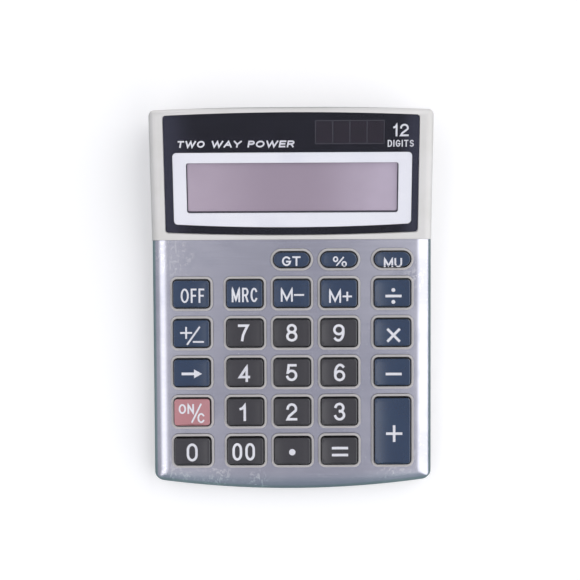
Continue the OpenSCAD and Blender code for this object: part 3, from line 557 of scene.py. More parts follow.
def lcd_material():
    """Grey liquid-crystal glass with painted reflections that make it a little lighter to both sides."""
    middle, left, right = srgb(163, 148, 163), srgb(184, 169, 184), srgb(194, 181, 198)
    m = Material("lcd_glass", middle, Roughness=0.22)
    # Painted reflection: lighter towards the left and right
    with_left_reflection = m.mix(m.across(-5, -40), middle, left)
    with_painted_reflections = m.mix(m.across(5, 40), with_left_reflection, right)
    m.colour(m.mix(m.ramp(m.noise(120, 2, 0.5), 0.4, 0.7, 0, 0.15), with_painted_reflections, middle))
    return m.material


def solar_material():
    """Dark silicon, clouded from strip to strip."""
    m = Material("solar_silicon", srgb(24, 15, 26), Roughness=0.5, Specular_IOR_Level=0.25)
    m.colour(m.mix(m.ramp(m.noise(400, 3, 0.6), 0.35, 0.7), srgb(22, 13, 24), srgb(30, 19, 32)))
    return m.material


def board_material():
    """Green circuit board with lighter copper tracks under its lacquer."""
    m = Material("green_board", srgb(24, 74, 44), Roughness=0.35)
    across = m.noise(160, 0, 0.5, (1, 0.05, 1))
    along = m.noise(160, 0, 0.5, (0.05, 1, 1))
    tracks = m.math("MAXIMUM", m.ramp(across, 0.56, 0.58), m.ramp(along, 0.58, 0.6))
    m.colour(m.mix(tracks, srgb(22, 70, 42), srgb(44, 104, 60)))
    return m.material


CELL_BAND, CELL_BUTTON = 14.0, 1.0


def cell_material():
    """A bare wrapped cell: dark sleeve with a copper-coloured band at its plus end."""
    low, high = box_mm("battery_cell")
    m = Material("cell_sleeve", srgb(40, 40, 44), Roughness=0.3, Metallic=0.3)
    start, end = high[0] - CELL_BAND, high[0] - CELL_BUTTON
    band = m.across(start - 0.2, start)
    dark = m.mix(m.ramp(m.noise(200, 3, 0.5), 0.4, 0.7), srgb(38, 38, 42), srgb(48, 48, 53))
    sleeve = m.mix(band, dark, srgb(176, 112, 62))
    plus_end = m.mix(m.across(end - 0.05, end), sleeve, srgb(196, 194, 190))
    minus_end = m.across(low[0] + 0.3, low[0] + 0.2)
    m.colour(m.mix(minus_end, plus_end, srgb(190, 188, 184)))
    return m.material


PLATE = plate_material()
MASK = mask_material()
WINDOW = window_material()
SOLAR = solar_material()

# Looks of the CAD nodes that are shown as they are
NODE_MATERIALS = {
    "lower_case": CREAM_BASE, "battery_door": CREAM_BASE, "case_screws": STEEL, "rubber_feet": RUBBER,
    "lcd_glass": lcd_material(), "lcd_reflector": REFLECTOR, "lcd_holder": TRAY, "lcd_screws": STEEL,
    "lcd_ribbon": RIBBON, "solar_cell": PAINTED_SHADOW_AND_CELL_BACK, "solar_wires": RED_WIRE,
    "main_board": board_material(), "board_screws": STEEL, "chip_blob": EPOXY,
    "capacitors": CAPACITOR, "resistors": CHIP,
    "battery_cell": cell_material(), "battery_insulator": PAPER, "battery_wires": RED_WIRE,
    "contact_plate": NICKEL, "contact_spring": NICKEL,
}

# ---- case ----


def deck_z(y):
    """Height of the faceplate's flat face at a place along the case."""
    return FRONT_H + (y - FRONT_Y) * math.tan(DECK_TILT)


def eased(t):
    """From 0 to 1 along a quarter ellipse that starts flat and ends upright."""
    return 1 - np.sqrt(1 - np.clip(t, 0, 1) ** 2)


SIDE_EASE = 1.8
FRONT_EASE = 1.2
SIDE_W = SIDE_ROLL_R + SIDE_EASE
FLAT_START = FRONT_Y + FRONT_ROLL_L + FRONT_EASE
EDGE_DROP = 4.4
MITRE = 0.5
SIDE_STEPS = 24
ROLL_STEPS = 14
INNER_CORNER_R = 1.5
PLATE_SHARP_ANGLE = 40
STEEP = 1e-9


def plate_edges():
    """The faceplate's outer edge, rear left over the front to rear right, and where its flat face starts."""
    front = bowed_edge(BODY_W, FRONT_BOW, FRONT_CORNER_R, 0) + (0, FRONT_Y)
    along = np.linspace(SEAM_Y - LOOSE, front[0][1], SIDE_STEPS + 1)[:-1]
    left = np.column_stack([np.full(SIDE_STEPS, -BODY_W / 2), along])
    outer = np.concatenate([left, front, left[::-1] * (-1, 1)])
    x, r = BODY_W / 2 - SIDE_W, INNER_CORNER_R
    corner = arc((-x + r, FLAT_START + r), r, r, 180, 270, CORNER_STEPS)
    between = front[CORNER_STEPS + 1:-CORNER_STEPS - 1, 0] * (x - r) / front[-CORNER_STEPS - 1, 0]
    middle = np.column_stack([between, np.full(len(between), FLAT_START)])
    inner_left = np.column_stack([np.full(SIDE_STEPS, -x), left[:, 1]])
    inner = np.concatenate([inner_left, corner, middle, corner[::-1] * (-1, 1), inner_left[::-1] * (-1, 1)])
    return outer, inner


def plate_drop(points, front):
    """How far the faceplate's face has rolled down towards its sides and its front edge."""
    x, y = points[:, 0], points[:, 1]
    side = eased(1 - (BODY_W / 2 - np.abs(x)) / SIDE_W) * SIDE_ROLL_R
    edge = np.interp(x, front[:, 0], front[:, 1])
    fore = eased((FLAT_START - y) / (FLAT_START - edge)) * EDGE_DROP
    reach = np.minimum(side + fore, MITRE) + STEEP
    return np.maximum(side, fore) + np.maximum(reach - np.abs(side - fore), 0) ** 2 / (4 * reach)


def plate_rings(under):
    """Rings from the faceplate's outer edge up to its flat face, moved down by a distance."""
    outer, inner = plate_edges()
    rings = []
    for turn in np.linspace(0, math.pi / 2, ROLL_STEPS + 1):
        points = outer + (inner - outer) * (1 - math.cos(turn))
        drop = plate_drop(points, outer[SIDE_STEPS:-SIDE_STEPS])
        rings.append(np.column_stack([points, deck_z(points[:, 1]) - drop - under]))
    return rings


def faceplate():
    """The rolled metal plate, with a hole for each key's collar."""
    rings = plate_rings(0)
    outer, inner = rings[0][:, :2], rings[-1][:, :2]
    skirt = np.column_stack([outer, deck_z(outer[:, 1]) - SKIRT_H])
    shape = Shape()
    shape.rings([skirt] + rings, closed=False)
    grow = KEY_GAP + COLLAR_T + LOOSE
    holes = []
    for key in KEYS.values():
        hole = rounded(key.w + 2 * grow, key.d + 2 * grow, key.r + grow) + (key.x, key.v)
        holes.append(hole * (1, math.cos(DECK_TILT)) + (0, FRONT_Y))
    shape.cap(inner, lambda points: deck_z(points[:, 1]), holes)
    plate = shape.build("faceplate_skin")
    modifier(plate, "SOLIDIFY", thickness=PLATE_T * MM, offset=-1)
    applied(plate)
    plate.data.shade_smooth()
    plate.data.set_sharp_from_angle(angle=math.radians(PLATE_SHARP_ANGLE))
    piece(plate, "case", PLATE, "faceplate", "faceplate")


CUT_SPARE = 0.08
CUT_OUT = 1.0
CUT_TOP = 40.0
SHELL_EDGE = 0.38


def upper_shell():
    """The upper half of the case, its rim trimmed to lie close under the rolled faceplate."""
    rings = plate_rings(PLATE_T + CUT_SPARE)
    across = rings[0][:, :2] - rings[-1][:, :2]
    out = rings[0][:, :2] + across / np.linalg.norm(across, axis=1)[:, None] * CUT_OUT
    low = np.column_stack([out, rings[0][:, 2]])
    lines = [np.column_stack([out, np.full(len(out), CUT_TOP)]), low, *rings]
    lines.append(np.column_stack([rings[-1][:, :2], np.full(len(out), CUT_TOP)]))
    sections = list(np.stack(lines).transpose(1, 0, 2))
    shape = Shape()
    shape.rings(sections)
    for section in (sections[0], sections[-1]):
        shape.add(section, [range(len(section))])
    cutter = shape.build("cutter")
    shell = link("upper_shell", NODES["upper_case"].data.copy())
    modifier(shell, "WELD", merge_threshold=CAD_WELD * MM)
    modifier(shell, "BOOLEAN", operation="DIFFERENCE", solver="EXACT", object=cutter)
    applied(shell)
    bpy.data.objects.remove(cutter)
    soften(shell, SHELL_EDGE, 3)
    piece(shell, "case", SHELL, "case", "upper_case")


# ---- keys ----

DIGIT_KEYS = ("0", "00", "point", "equals", "1", "2", "3", "4", "5", "6", "7", "8", "9")
OVAL_KEYS = ("gt", "percent", "mu")


class Key:
    """Place and size of a key cap on the deck, from its CAD node."""

    def __init__(self, name):
        self.name = name
        low, high = box_mm("key_" + name)
        self.x = (low[0] + high[0]) / 2
        self.v = DECK.up((low[1] + high[1]) / 2, (FLANGE_TOP + FLANGE_UNDER) / 2)
        self.w = high[0] - low[0] - 2 * FLANGE_REACH
        self.d = DECK.up(high[1], FLANGE_UNDER) - DECK.up(low[1], FLANGE_TOP) - 2 * FLANGE_REACH
        self.r = self.d / 2 if name in OVAL_KEYS else KEY_R
        if name in DIGIT_KEYS:
            self.material, self.slot = DARK_KEY, "digit_keys"
        elif name == "on_clear":
            self.material, self.slot = PINK_KEY, "clear_key"
        else:
            self.material, self.slot = BLUE_KEY, "function_keys"

    def top(self, x):
        """Height of the hollowed top over the faceplate."""
        lowest = KEY_RISE - (self.w / 2) ** 2 / (2 * DISH_R)
        return lowest + DISH_R - np.sqrt(DISH_R ** 2 - np.asarray(x) ** 2)

    def place(self, points):
        """Points about the key's centre, put on the deck."""
        return DECK.place(np.asarray(points) + (self.x, self.v, 0))


KEY_NAMES = [node.removeprefix("key_") for node in NODES if node.startswith("key_") and node != "key_mat"]
KEYS = {name: Key(name) for name in KEY_NAMES}
KEY_FILLET, FILLET_STEPS = 0.32, 5
KEY_WALL = 1.3
CAP_INNER_R = 0.5
CAP_SIDE_TOP = 1.0
# Above its flange a cap is this much shorter than in the CAD, and all of it sits this far to the left
CAP_SPARE, CAP_SHIFT = 0.3, 0.12
CAP_GRID, CAP_GRID_MARGIN = 1.1, 0.45
CAP_SHARP_ANGLE = 45
PLUNGER_R, PLUNGER_SIDES = 1.9, 24


def grid_inside(outline, step, margin):
    """Points on a grid that lie well inside an outline."""
    spans = zip(outline.min(axis=0), outline.max(axis=0))
    axes = [np.linspace(low, high, max(int((high - low) / step), 2) + 1) for low, high in spans]
    points = np.stack(np.meshgrid(*axes), axis=-1).reshape(-1, 2)
    near = np.linalg.norm(points[:, None] - outline[None], axis=2).min(axis=1) < margin
    return points[inside(points, outline) & ~near]


def key_cap(key):
    """A hollow cap with a dished top, rounded edges, a flange and a plunger."""
    outline = rounded(key.w, key.d - CAP_SPARE, key.r - CAP_SPARE / 2)
    inner = rounded(key.w - 2 * KEY_WALL, key.d - 2 * KEY_WALL, CAP_INNER_R)
    flange = rounded(key.w + 2 * FLANGE_REACH, key.d + 2 * FLANGE_REACH, KEY_R)
    rings = [
        flat(inner, 0), flat(inner, -FLANGE_UNDER), flat(flange, -FLANGE_UNDER), flat(flange, -FLANGE_TOP),
        flat(outline, -FLANGE_TOP), flat(outline, CAP_SIDE_TOP),
    ]
    for turn in np.linspace(0, math.pi / 2, FILLET_STEPS + 1):
        inset = KEY_FILLET * (1 - math.cos(turn))
        ring = rounded(key.w - 2 * inset, key.d - CAP_SPARE - 2 * inset, key.r - CAP_SPARE / 2 - inset)
        rings.append(np.column_stack([ring, key.top(ring[:, 0]) - KEY_FILLET * (1 - math.sin(turn))]))
    top = rings[-1][:, :2]
    plunger = circle(PLUNGER_R, PLUNGER_SIDES)
    shape = Shape()
    shape.rings(rings)
    shape.cap(top, lambda points: key.top(points[:, 0]), (), grid_inside(top, CAP_GRID, CAP_GRID_MARGIN))
    shape.rings([flat(plunger, 0), flat(plunger, -FLANGE_UNDER)])
    shape.cap(inner, level(0), (plunger,))
    shape.cap(plunger, level(-FLANGE_UNDER))
    shape.moved(lambda points: key.place(points - (CAP_SHIFT, 0, 0)))
    cap = shape.build("cap_" + key.name, CAP_SHARP_ANGLE)
    piece(cap, "key_" + key.name + "_cap", key.material, key.slot, "key_" + key.name)


# ---- lettering ----


def bend(x, y, rx, ry, start, end, steps=20):
    """Part of an ellipse in a sign's box, from one angle to another."""
    return arc((x, y), rx, ry, start, end, steps)


def joined(*parts):
    """One line through points and bends."""
    return np.concatenate([np.atleast_2d(np.asarray(part, float)) for part in parts])


SIX = [bend(0.5, 0.29, 0.5, 0.29, 0, 360, 28), bend(0.56, 0.45, 0.56, 0.55, 180, 52)]

# Each sign's width to height, and its strokes through points and bends in a box of width and height 1
STROKES = {
    "0": (0.68, [[bend(0.5, 0.64, 0.5, 0.36, 0, 180), bend(0.5, 0.36, 0.5, 0.36, 180, 360), (1, 0.64)]]),
    "1": (0.46, [[(0, 0.76), (0.4, 0.8), (0.75, 0.89), (1, 1), (1, 0)]]),
    "2": (0.68, [[bend(0.5, 0.71, 0.49, 0.29, 175, -28), (0.2, 0.22), (0, 0), (1, 0)]]),
    "3": (0.68, [[bend(0.48, 0.755, 0.44, 0.245, 165, -80)], [bend(0.5, 0.27, 0.5, 0.27, 85, -165)]]),
    "4": (0.7, [[(0.76, 0), (0.76, 1), (0, 0.27), (1, 0.27)]]),
    "5": (0.68, [[(0.93, 1), (0.18, 1), (0.08, 0.5), bend(0.5, 0.31, 0.5, 0.31, 142, -160)]]),
    "6": (0.68, [[stroke] for stroke in SIX]),
    "7": (0.68, [[(0, 1), (1, 1), (0.64, 0.6), (0.44, 0.3), (0.36, 0)]]),
    "8": (0.68, [[bend(0.5, 0.765, 0.43, 0.235, -90, 270, 24)], [bend(0.5, 0.27, 0.5, 0.27, 90, 450, 28)]]),
    "9": (0.68, [[1 - stroke] for stroke in SIX]),
    "A": (0.92, [[(0, 0), (0.5, 1), (1, 0)], [(0.18, 0.34), (0.82, 0.34)]]),
    "C": (0.86, [[bend(0.5, 0.5, 0.5, 0.5, 38, 322, 28)]]),
    "D": (0.82, [[(0, 0), (0, 1), bend(0.45, 0.5, 0.55, 0.5, 90, -90), (0, 0)]]),
    "E": (0.72, [[(1, 1), (0, 1), (0, 0), (1, 0)], [(0, 0.52), (0.9, 0.52)]]),
    "F": (0.68, [[(1, 1), (0, 1), (0, 0)], [(0, 0.5), (0.85, 0.5)]]),
    "G": (0.88, [[bend(0.5, 0.5, 0.5, 0.5, 42, 335, 28), (1, 0.45), (0.55, 0.45)]]),
    "I": (0.0, [[(0.5, 0), (0.5, 1)]]),
    "M": (1.0, [[(0, 0), (0, 1), (0.5, 0.1), (1, 1), (1, 0)]]),
    "N": (0.84, [[(0, 0), (0, 1), (1, 0), (1, 1)]]),
    "O": (0.94, [[bend(0.5, 0.5, 0.5, 0.5, 0, 360, 32)]]),
    "P": (0.72, [[(0, 0), (0, 1), (0.5, 1), bend(0.6, 0.74, 0.4, 0.26, 90, -90), (0, 0.48)]]),
    "R": (0.78, [[(0, 0), (0, 1), (0.5, 1), bend(0.6, 0.74, 0.38, 0.26, 90, -90), (0, 0.48)],
                 [(0.55, 0.48), (0.96, 0)]]),
    "S": (0.76, [[bend(0.5, 0.755, 0.46, 0.245, 30, 270), bend(0.5, 0.255, 0.5, 0.255, 90, -150)]]),
    "T": (0.8, [[(0, 1), (1, 1)], [(0.5, 1), (0.5, 0)]]),
    "U": (0.82, [[(0, 1), (0, 0.4), bend(0.5, 0.38, 0.5, 0.38, 180, 360), (1, 1)]]),
    "W": (1.3, [[(0, 1), (0.26, 0), (0.5, 0.95), (0.74, 0), (1, 1)]]),
    "Y": (0.9, [[(0, 1), (0.5, 0.45), (1, 1)], [(0.5, 0.45), (0.5, 0)]]),
    "+": (1.0, [[(0, 0.5), (1, 0.5)], [(0.5, 0), (0.5, 1)]]),
    "-": (1.0, [[(0, 0.5), (1, 0.5)]]),
    "x": (1.0, [[(0, 0), (1, 1)], [(0, 1), (1, 0)]]),
}
GLYPHS = {sign: (ratio, [joined(*line) for line in lines]) for sign, (ratio, lines) in STROKES.items()}
GRAIN = 0.6
MITRE_LIMIT = 2.5
SIGN_GAP = 0.14


def sign_lines(sign, x, y, w, h, stroke):
    """Centre-lines of a sign whose inked outside fills a box about (x, y)."""
    size = np.array([0 if sign == "I" else w - stroke, 0 if sign == "-" else h - stroke])
    return [(line - 0.5) * size + (x, y) for line in GLYPHS[sign][1]]


def stroke_quads(line, width):
    """Four-sided pieces along a line, mitred where they meet, square at its ends."""
    points = [line[0]]
    for a, b in zip(line[:-1], line[1:]):
        parts = max(int(math.ceil(np.linalg.norm(b - a) / GRAIN)), 1)
        points += [a + (b - a) * i / parts for i in range(1, parts + 1)]
    points = np.array(points)
    points = points[np.r_[True, np.linalg.norm(np.diff(points, axis=0), axis=1) > SAME_PLACE]]
    step = np.diff(points, axis=0)
    step /= np.linalg.norm(step, axis=1)[:, None]
    loop = np.allclose(points[0], points[-1], atol=SAME_PLACE)
    before = np.concatenate([step[-1:] if loop else step[:1], step])
    after = np.concatenate([step, step[:1] if loop else step[-1:]])
    if not loop:
        points[0] -= step[0] * width / 2
        points[-1] += step[-1] * width / 2
    side = np.column_stack([-(before + after)[:, 1], (before + after)[:, 0]])
    length = np.maximum(np.linalg.norm(side, axis=1)[:, None], SAME_PLACE)
    offset = side / length * np.minimum(2 / length, MITRE_LIMIT) * width / 2
    left, right = points + offset, points - offset
    return [np.array([right[i], right[i + 1], left[i + 1], left[i]]) for i in range(len(points) - 1)]


def united(areas):
    """Triangles over the union of simple areas."""
    points = np.concatenate(areas)
    edges, start = [], 0
    for area in areas:
        edges += loop_edges(start, len(area))
        start += len(area)
    verts, faces = triangulated(points, edges)
    middle = verts[faces].mean(axis=1)
    keep = np.zeros(len(faces), bool)
    for area in areas:
        keep |= inside(middle, area)
    return verts, faces[keep]


def raised(shape, areas, top, bottom):
    """Adds areas as thin raised print between two surfaces given as heights over their points."""
    verts, faces = united(areas)
    count = len(verts)
    edges = {}
    for face in faces:
        for i in range(3):
            pair = (int(face[i]), int(face[(i + 1) % 3]))
            edges[tuple(sorted(pair))] = None if tuple(sorted(pair)) in edges else pair
    walls = [(a, b, b + count, a + count) for a, b in filter(None, edges.values())]
    points = np.concatenate([np.column_stack([verts, top(verts)]), np.column_stack([verts, bottom(verts)])])
    shape.add(points, [tuple(f) for f in faces] + [tuple(f[::-1] + count) for f in faces] + walls)


def word_lines(text, x, y, w, h, stroke, gap=SIGN_GAP):
    """Centre-lines of a word, or of one sign, that fills a box about (x, y)."""
    widths = [stroke if sign == "I" else GLYPHS[sign][0] * h for sign in text]
    space = gap * h
    squeeze = (w - space * (len(text) - 1)) / sum(widths)
    lines, at = [], x - w / 2
    for sign, width in zip(text, widths):
        lines += sign_lines(sign, at + width * squeeze / 2, y, width * squeeze, h, stroke)
        at += width * squeeze + space
    return lines


def inked(lines, stroke):
    """The areas that lines of one width cover."""
    return [quad for line in lines for quad in stroke_quads(line, stroke)]


def printed(stroke, words=(), lines=(), areas=()):
    """The areas that words in their boxes, plain lines and solid areas cover."""
    strokes = [line for text in words for line in word_lines(*text, stroke)]
    return list(areas) + inked(strokes + [np.array(line) for line in lines], stroke)


def dot(x, y, r):
    return circle(r, DOT_SIDES) + (x, y)


DIGIT_STROKE, SIGN_STROKE, WORD_STROKE, SMALL_STROKE, PERCENT_STROKE = 0.95, 1.0, 0.68, 0.66, 0.55
WORD_H, SMALL_H = 5.5, 3.7
DOT_SIDES = 20
INK_T = 0.04
INK_SINK = 0.06
INK_SHARP_ANGLE = 60

# Each digit's place about its key's centre, width and height
DIGIT_BOXES = {
    "0": (-0.2, -0.35, 4.25, 7.0), "1": (-1.1, -0.2, 2.5, 6.5), "2": (-0.3, 0, 4.2, 6.7),
    "3": (0, 0, 4.35, 6.9), "4": (-0.35, -0.4, 4.4, 6.3), "5": (-0.3, 0, 4.4, 6.6),
    "6": (0.05, -0.05, 4.3, 6.8), "7": (-0.6, 0.2, 4.2, 6.5), "8": (-0.15, 0.15, 4.35, 6.8),
    "9": (-0.2, 0, 4.4, 6.7),
}
# What each key says: the stroke, words and signs with their boxes, plain lines and solid areas
LEGENDS = {sign: (DIGIT_STROKE, [(sign, *box)]) for sign, box in DIGIT_BOXES.items()}
LEGENDS |= {
    "00": (DIGIT_STROKE, [("0", -3.3, -0.2, 3.75, 6.8), ("0", 1.65, -0.2, 3.75, 6.8)]),
    "point": (DIGIT_STROKE, (), (), [dot(-0.2, -0.45, 1.25)]),
    "equals": (SIGN_STROKE, [("-", 0.1, 1.05, 6.3, 1.0), ("-", 0.1, -1.65, 6.3, 1.0)]),
    "plus": (SIGN_STROKE, [("+", 0.5, -1.05, 6.3, 6.5)]),
    "minus": (SIGN_STROKE, [("-", 0.35, -0.75, 6.2, 1.0)]),
    "multiply": (SIGN_STROKE, [("x", 0.3, -1.0, 5.1, 5.2)]),
    "divide": (
        SIGN_STROKE, [("-", 0.3, -1.15, 6.2, 1.0)], (), [dot(0.25, 1.15, 0.75), dot(0.25, -3.4, 0.75)],
    ),
    "arrow": (
        SIGN_STROKE, (), [[(-3.5, -0.3), (1.2, -0.3)]], [np.array([(0.8, 1.4), (3.9, -0.3), (0.8, -2.0)])],
    ),
    "sign": (
        WORD_STROKE, [("+", -2.1, 0.3, 4.6, 4.6)], [[(-1.6, -4.0), (3.0, 2.4)], [(0.8, -3.2), (4.4, -3.2)]],
    ),
    "off": (WORD_STROKE, [("OFF", 0.5, -0.65, 9.1, WORD_H)]),
    "mrc": (WORD_STROKE, [("MRC", 0, -0.45, 10.0, WORD_H)]),
    "m_minus": (WORD_STROKE, [("M", -2.0, -0.55, 4.6, 5.1), ("-", 2.7, -0.55, 3.9, 1.0)]),
    "m_plus": (WORD_STROKE, [("M", -1.6, -1.1, 4.6, 5.1), ("+", 3.1, -1.2, 3.6, 3.6)]),
    "on_clear": (
        SMALL_STROKE, [("ON", -2.3, 1.35, 5.9, 3.8), ("C", 3.4, -2.2, 2.9, 3.9)],
        [[(-0.1, -3.7), (3.3, 3.1)]],
    ),
    "gt": (SMALL_STROKE, [("GT", -0.2, -0.55, 7.1, SMALL_H)]),
    "mu": (SMALL_STROKE, [("MU", 0.1, -1.3, 7.0, 3.5)]),
    "percent": (PERCENT_STROKE, (), [
        bend(-1.35, 0.1, 0.75, 0.85, 0, 360), bend(1.95, -1.75, 0.75, 0.85, 0, 360),
        [(-0.95, -2.3), (1.6, 0.75)],
    ]),
}


def legend(key):
    """The raised print on a key's hollow top."""
    def over_top(rise):
        return lambda points: key.top(points[:, 0]) + rise

    shape = Shape()
    raised(shape, printed(*LEGENDS[key.name]), over_top(INK_T), over_top(-INK_SINK))
    text = shape.moved(key.place).build("legend_" + key.name, INK_SHARP_ANGLE)
    piece(text, "key_" + key.name + "_cap", WHITE_INK, key.slot)


def keys():
    for key in KEYS.values():
        key_cap(key)
        legend(key)


# ---- mat ----

# Depths under the faceplate's face, and radii
SHEET_TOP, SHEET_UNDER = 6.55, 7.35
MAT_TOP, DOME_TOP, DOME_ROOF = 6.6, 3.2, 5.3
DOME_R, DOME_TOP_R, DOME_INNER_R, DOME_ROOF_R = 4.0, 2.4, 2.83, 1.9
DOME_EDGE, DOME_EDGE_INSET = 0.15, 0.1
PAD_R, PAD_TOP, PAD_UNDER = 1.6, 5.35, 6.1
POST_HOLE_R = 1.8
POST_ROWS = (0.5, 2.5, 4.5)
EDGE_STEPS = 3


def slab(shape, outline, top, under, holes=(), edge=0.0, inner_outline=None):
    """A flat solid with holes; its upper edge is rounded where an inner outline is given."""
    rings = [flat(outline, -under)]
    if edge:
        for turn in np.linspace(0, math.pi / 2, EDGE_STEPS + 1):
            ring = outline + (inner_outline - outline) * (1 - math.cos(turn))
            rings.append(flat(ring, -top - edge * (1 - math.sin(turn))))
    else:
        rings.append(flat(outline, -top))
    shape.rings(rings)
    shape.cap(rings[-1][:, :2], level(-top), holes)
    shape.cap(outline, level(-under), holes)
    for hole in holes:
        shape.rings([flat(hole, -top), flat(hole, -under)])
    return shape


def squashed(obj, key):
    """Gives a piece its own copy of its mesh; the point under its key on the mat is worked out but not used.
    """
    anchor = key.place([(0, 0, -MAT_TOP)])[0] * MM
    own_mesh(obj)


def key_dome(key):
    """The soft dome under a key, with its carbon pad."""
    foot, roof = circle(DOME_INNER_R), circle(DOME_ROOF_R)
    top = circle(DOME_TOP_R - DOME_EDGE_INSET)
    shape = Shape()
    shape.rings([
        flat(foot, -MAT_TOP), flat(circle(DOME_R), -MAT_TOP),
        flat(circle(DOME_TOP_R + DOME_EDGE), -DOME_TOP - DOME_EDGE), flat(top, -DOME_TOP),
    ])
    shape.cap(top, level(-DOME_TOP))
    shape.rings([flat(foot, -MAT_TOP), flat(roof, -DOME_ROOF)])
    shape.cap(roof, level(-DOME_ROOF))
    dome = shape.moved(key.place).build("dome_" + key.name)
    squashed(piece(dome, "case", SILICONE, "silicone"), key)
    pad = slab(Shape(), circle(PAD_R), PAD_TOP, PAD_UNDER).moved(key.place).build("pad_" + key.name)
    squashed(piece(pad, "case", CARBON, "carbon", "carbon_pads"), key)


def key_mat():
    """The mat's flat sheet, open under each dome and round each screw post, and a dome for each key."""
    low, high = box_mm("key_mat")
    front, rear = DECK.up(low[1], SHEET_TOP), DECK.up(high[1], SHEET_UNDER)
    outline = np.array([(low[0], front), (high[0], front), (high[0], rear), (low[0], rear)])
    row_pitch = KEYS["1"].v - KEYS["0"].v
    post_x = (KEYS["6"].x + KEYS["minus"].x) / 2
    posts = [(side * post_x, KEYS["0"].v + row * row_pitch) for side in (-1, 1) for row in POST_ROWS]
    holes = [circle(DOME_INNER_R) + (key.x, key.v) for key in KEYS.values()]
    holes += [circle(POST_HOLE_R) + at for at in posts]
    sheet = slab(Shape(), outline, SHEET_TOP, SHEET_UNDER, holes).moved(DECK.place).build("mat_sheet")
    piece(sheet, "case", SILICONE, "silicone", "key_mat")
    for key in KEYS.values():
        key_dome(key)


# ---- display ----


class Panel:
    """Width, front edge and length of a display part on the hood, from its CAD node and its depths."""

    def __init__(self, node, top, under):
        low, high = box_mm(node)
        self.x = (low[0] + high[0]) / 2
        self.w = high[0] - low[0]
        self.p = HOOD.up(low[1], top)
        self.l = HOOD.up(high[1], under) - self.p


def on_hood(shape, name):
    return shape.moved(HOOD.place).build(name)


WINDOW_PANEL = Panel("display_window", WINDOW_INSET, WINDOW_UNDER)
SURROUND_PANEL = Panel("lcd_surround", WINDOW_UNDER, SURROUND_UNDER)
SOLAR_PANEL = Panel("solar_cell", SOLAR_TOP, SOLAR_TOP + SOLAR_T)
WINDOW_EDGE = 0.25
UNDER_GLASS = 0.03
# How far the surround sits from its CAD node, to the right and up the slope
SURROUND_X, SURROUND_V = 0.35, -0.38
STRAIGHT_BOW = 0.01
# A dark frame round the LCD's view that paints the shadow of its recess, set higher so it is thinnest at the
# top
SHADOW_FRAME_W, SHADOW_FRAME_T, SHADOW_FRAME_SHIFT = 0.4, 0.25, 0.25
SOLAR_CELLS, SOLAR_LINE = 4, 0.35
STRIP_R, STRIP_T = 0.05, 0.03
EVENED_WEIGHT = 100

# Print on the window: strokes, places over its front edge, heights, and the note's slant
COUNT_STROKE, UNIT_STROKE, NOTE_STROKE = 0.7, 0.42, 0.6
COUNT_P, NOTE_P = 40.0, 35.0
COUNT_H, NOTE_H = 4.7, 2.6
NOTE_SLANT = 0.2
PRINT_T = 0.02
# Each word's place across, width and gap; the digits and their unit count from the right edge
NOTE_WORDS = (("TWO", -38.0, 10.4, 0.2), ("WAY", -24.6, 11.4, 0.16), ("POWER", -7.6, 17.6, 0.2))
COUNT_DIGITS = (("1", 9.1, 1.6), ("2", 5.7, 3.3))
UNIT_X, UNIT_W, UNIT_GAP = 7.0, 9.9, 0.2


def window_outline(inset=0.0):
    panel = WINDOW_PANEL
    return bowed(panel.w, panel.l, (WINDOW_BOW, WINDOW_BOW), (WINDOW_R, WINDOW_R), inset) + (0, panel.p)


def surround_outline(grow=0.0):
    panel = SURROUND_PANEL
    bows, radii = (SURROUND_BOW, STRAIGHT_BOW), (SURROUND_R + grow, SURROUND_R + grow)
    outline = bowed(panel.w + 2 * grow, panel.l + 2 * grow, bows, radii)
    return outline + (SURROUND_X, panel.p - grow + SURROUND_V)


def view_outline(grow=0.0):
    panel = SURROUND_PANEL
    w, l = panel.w - 2 * VIEW_SIDE, panel.l - VIEW_FRONT - VIEW_REAR
    middle = (SURROUND_X, panel.p + VIEW_FRONT + l / 2 + SURROUND_V)
    return rounded(w + 2 * grow, l + 2 * grow, VIEW_R + grow) + middle


def solar_outline(inset):
    panel = SOLAR_PANEL
    outline = rounded(panel.w - 2 * inset, panel.l - 2 * inset, SHARP_R, 1)
    return outline + (panel.x, panel.p + panel.l / 2)


def evened(obj):
    """Shades an object's large flat faces flat."""
    modifier(obj, "WEIGHTED_NORMAL", keep_sharp=True, weight=EVENED_WEIGHT)
    return obj


def display():
    """The window with the film, surround, painted shadow frame, solar strips and print under it."""
    outline, view, behind = window_outline(), view_outline(), WINDOW_UNDER + UNDER_GLASS
    window = slab(Shape(), outline, WINDOW_INSET, WINDOW_UNDER, (), WINDOW_EDGE, window_outline(WINDOW_EDGE))
    piece(evened(on_hood(window, "window")), "case", WINDOW, "window", "display_window")
    film = slab(Shape(), outline, behind, FILM_UNDER, (surround_outline(LOOSE), solar_outline(SOLAR_EDGE)))
    piece(on_hood(film, "window_print_film"), "case", MASK, "mask", "window_mask")
    surround = slab(Shape(), surround_outline(), behind, SURROUND_UNDER, (view,))
    piece(evened(on_hood(surround, "lcd_frame")), "case", SURROUND, "surround", "lcd_surround")
    # Painted shadow: a dark frame inside the view opening, thinner at the top
    opening = view_outline(-SHADOW_FRAME_W) + (0, SHADOW_FRAME_SHIFT)
    shadow_frame = slab(Shape(), view, LCD_TOP - SHADOW_FRAME_T, LCD_TOP, (opening,))
    piece(on_hood(shadow_frame, "lcd_painted_shadow"), "case", PAINTED_SHADOW_AND_CELL_BACK, "mask")
    solar_strips()
    window_lettering()


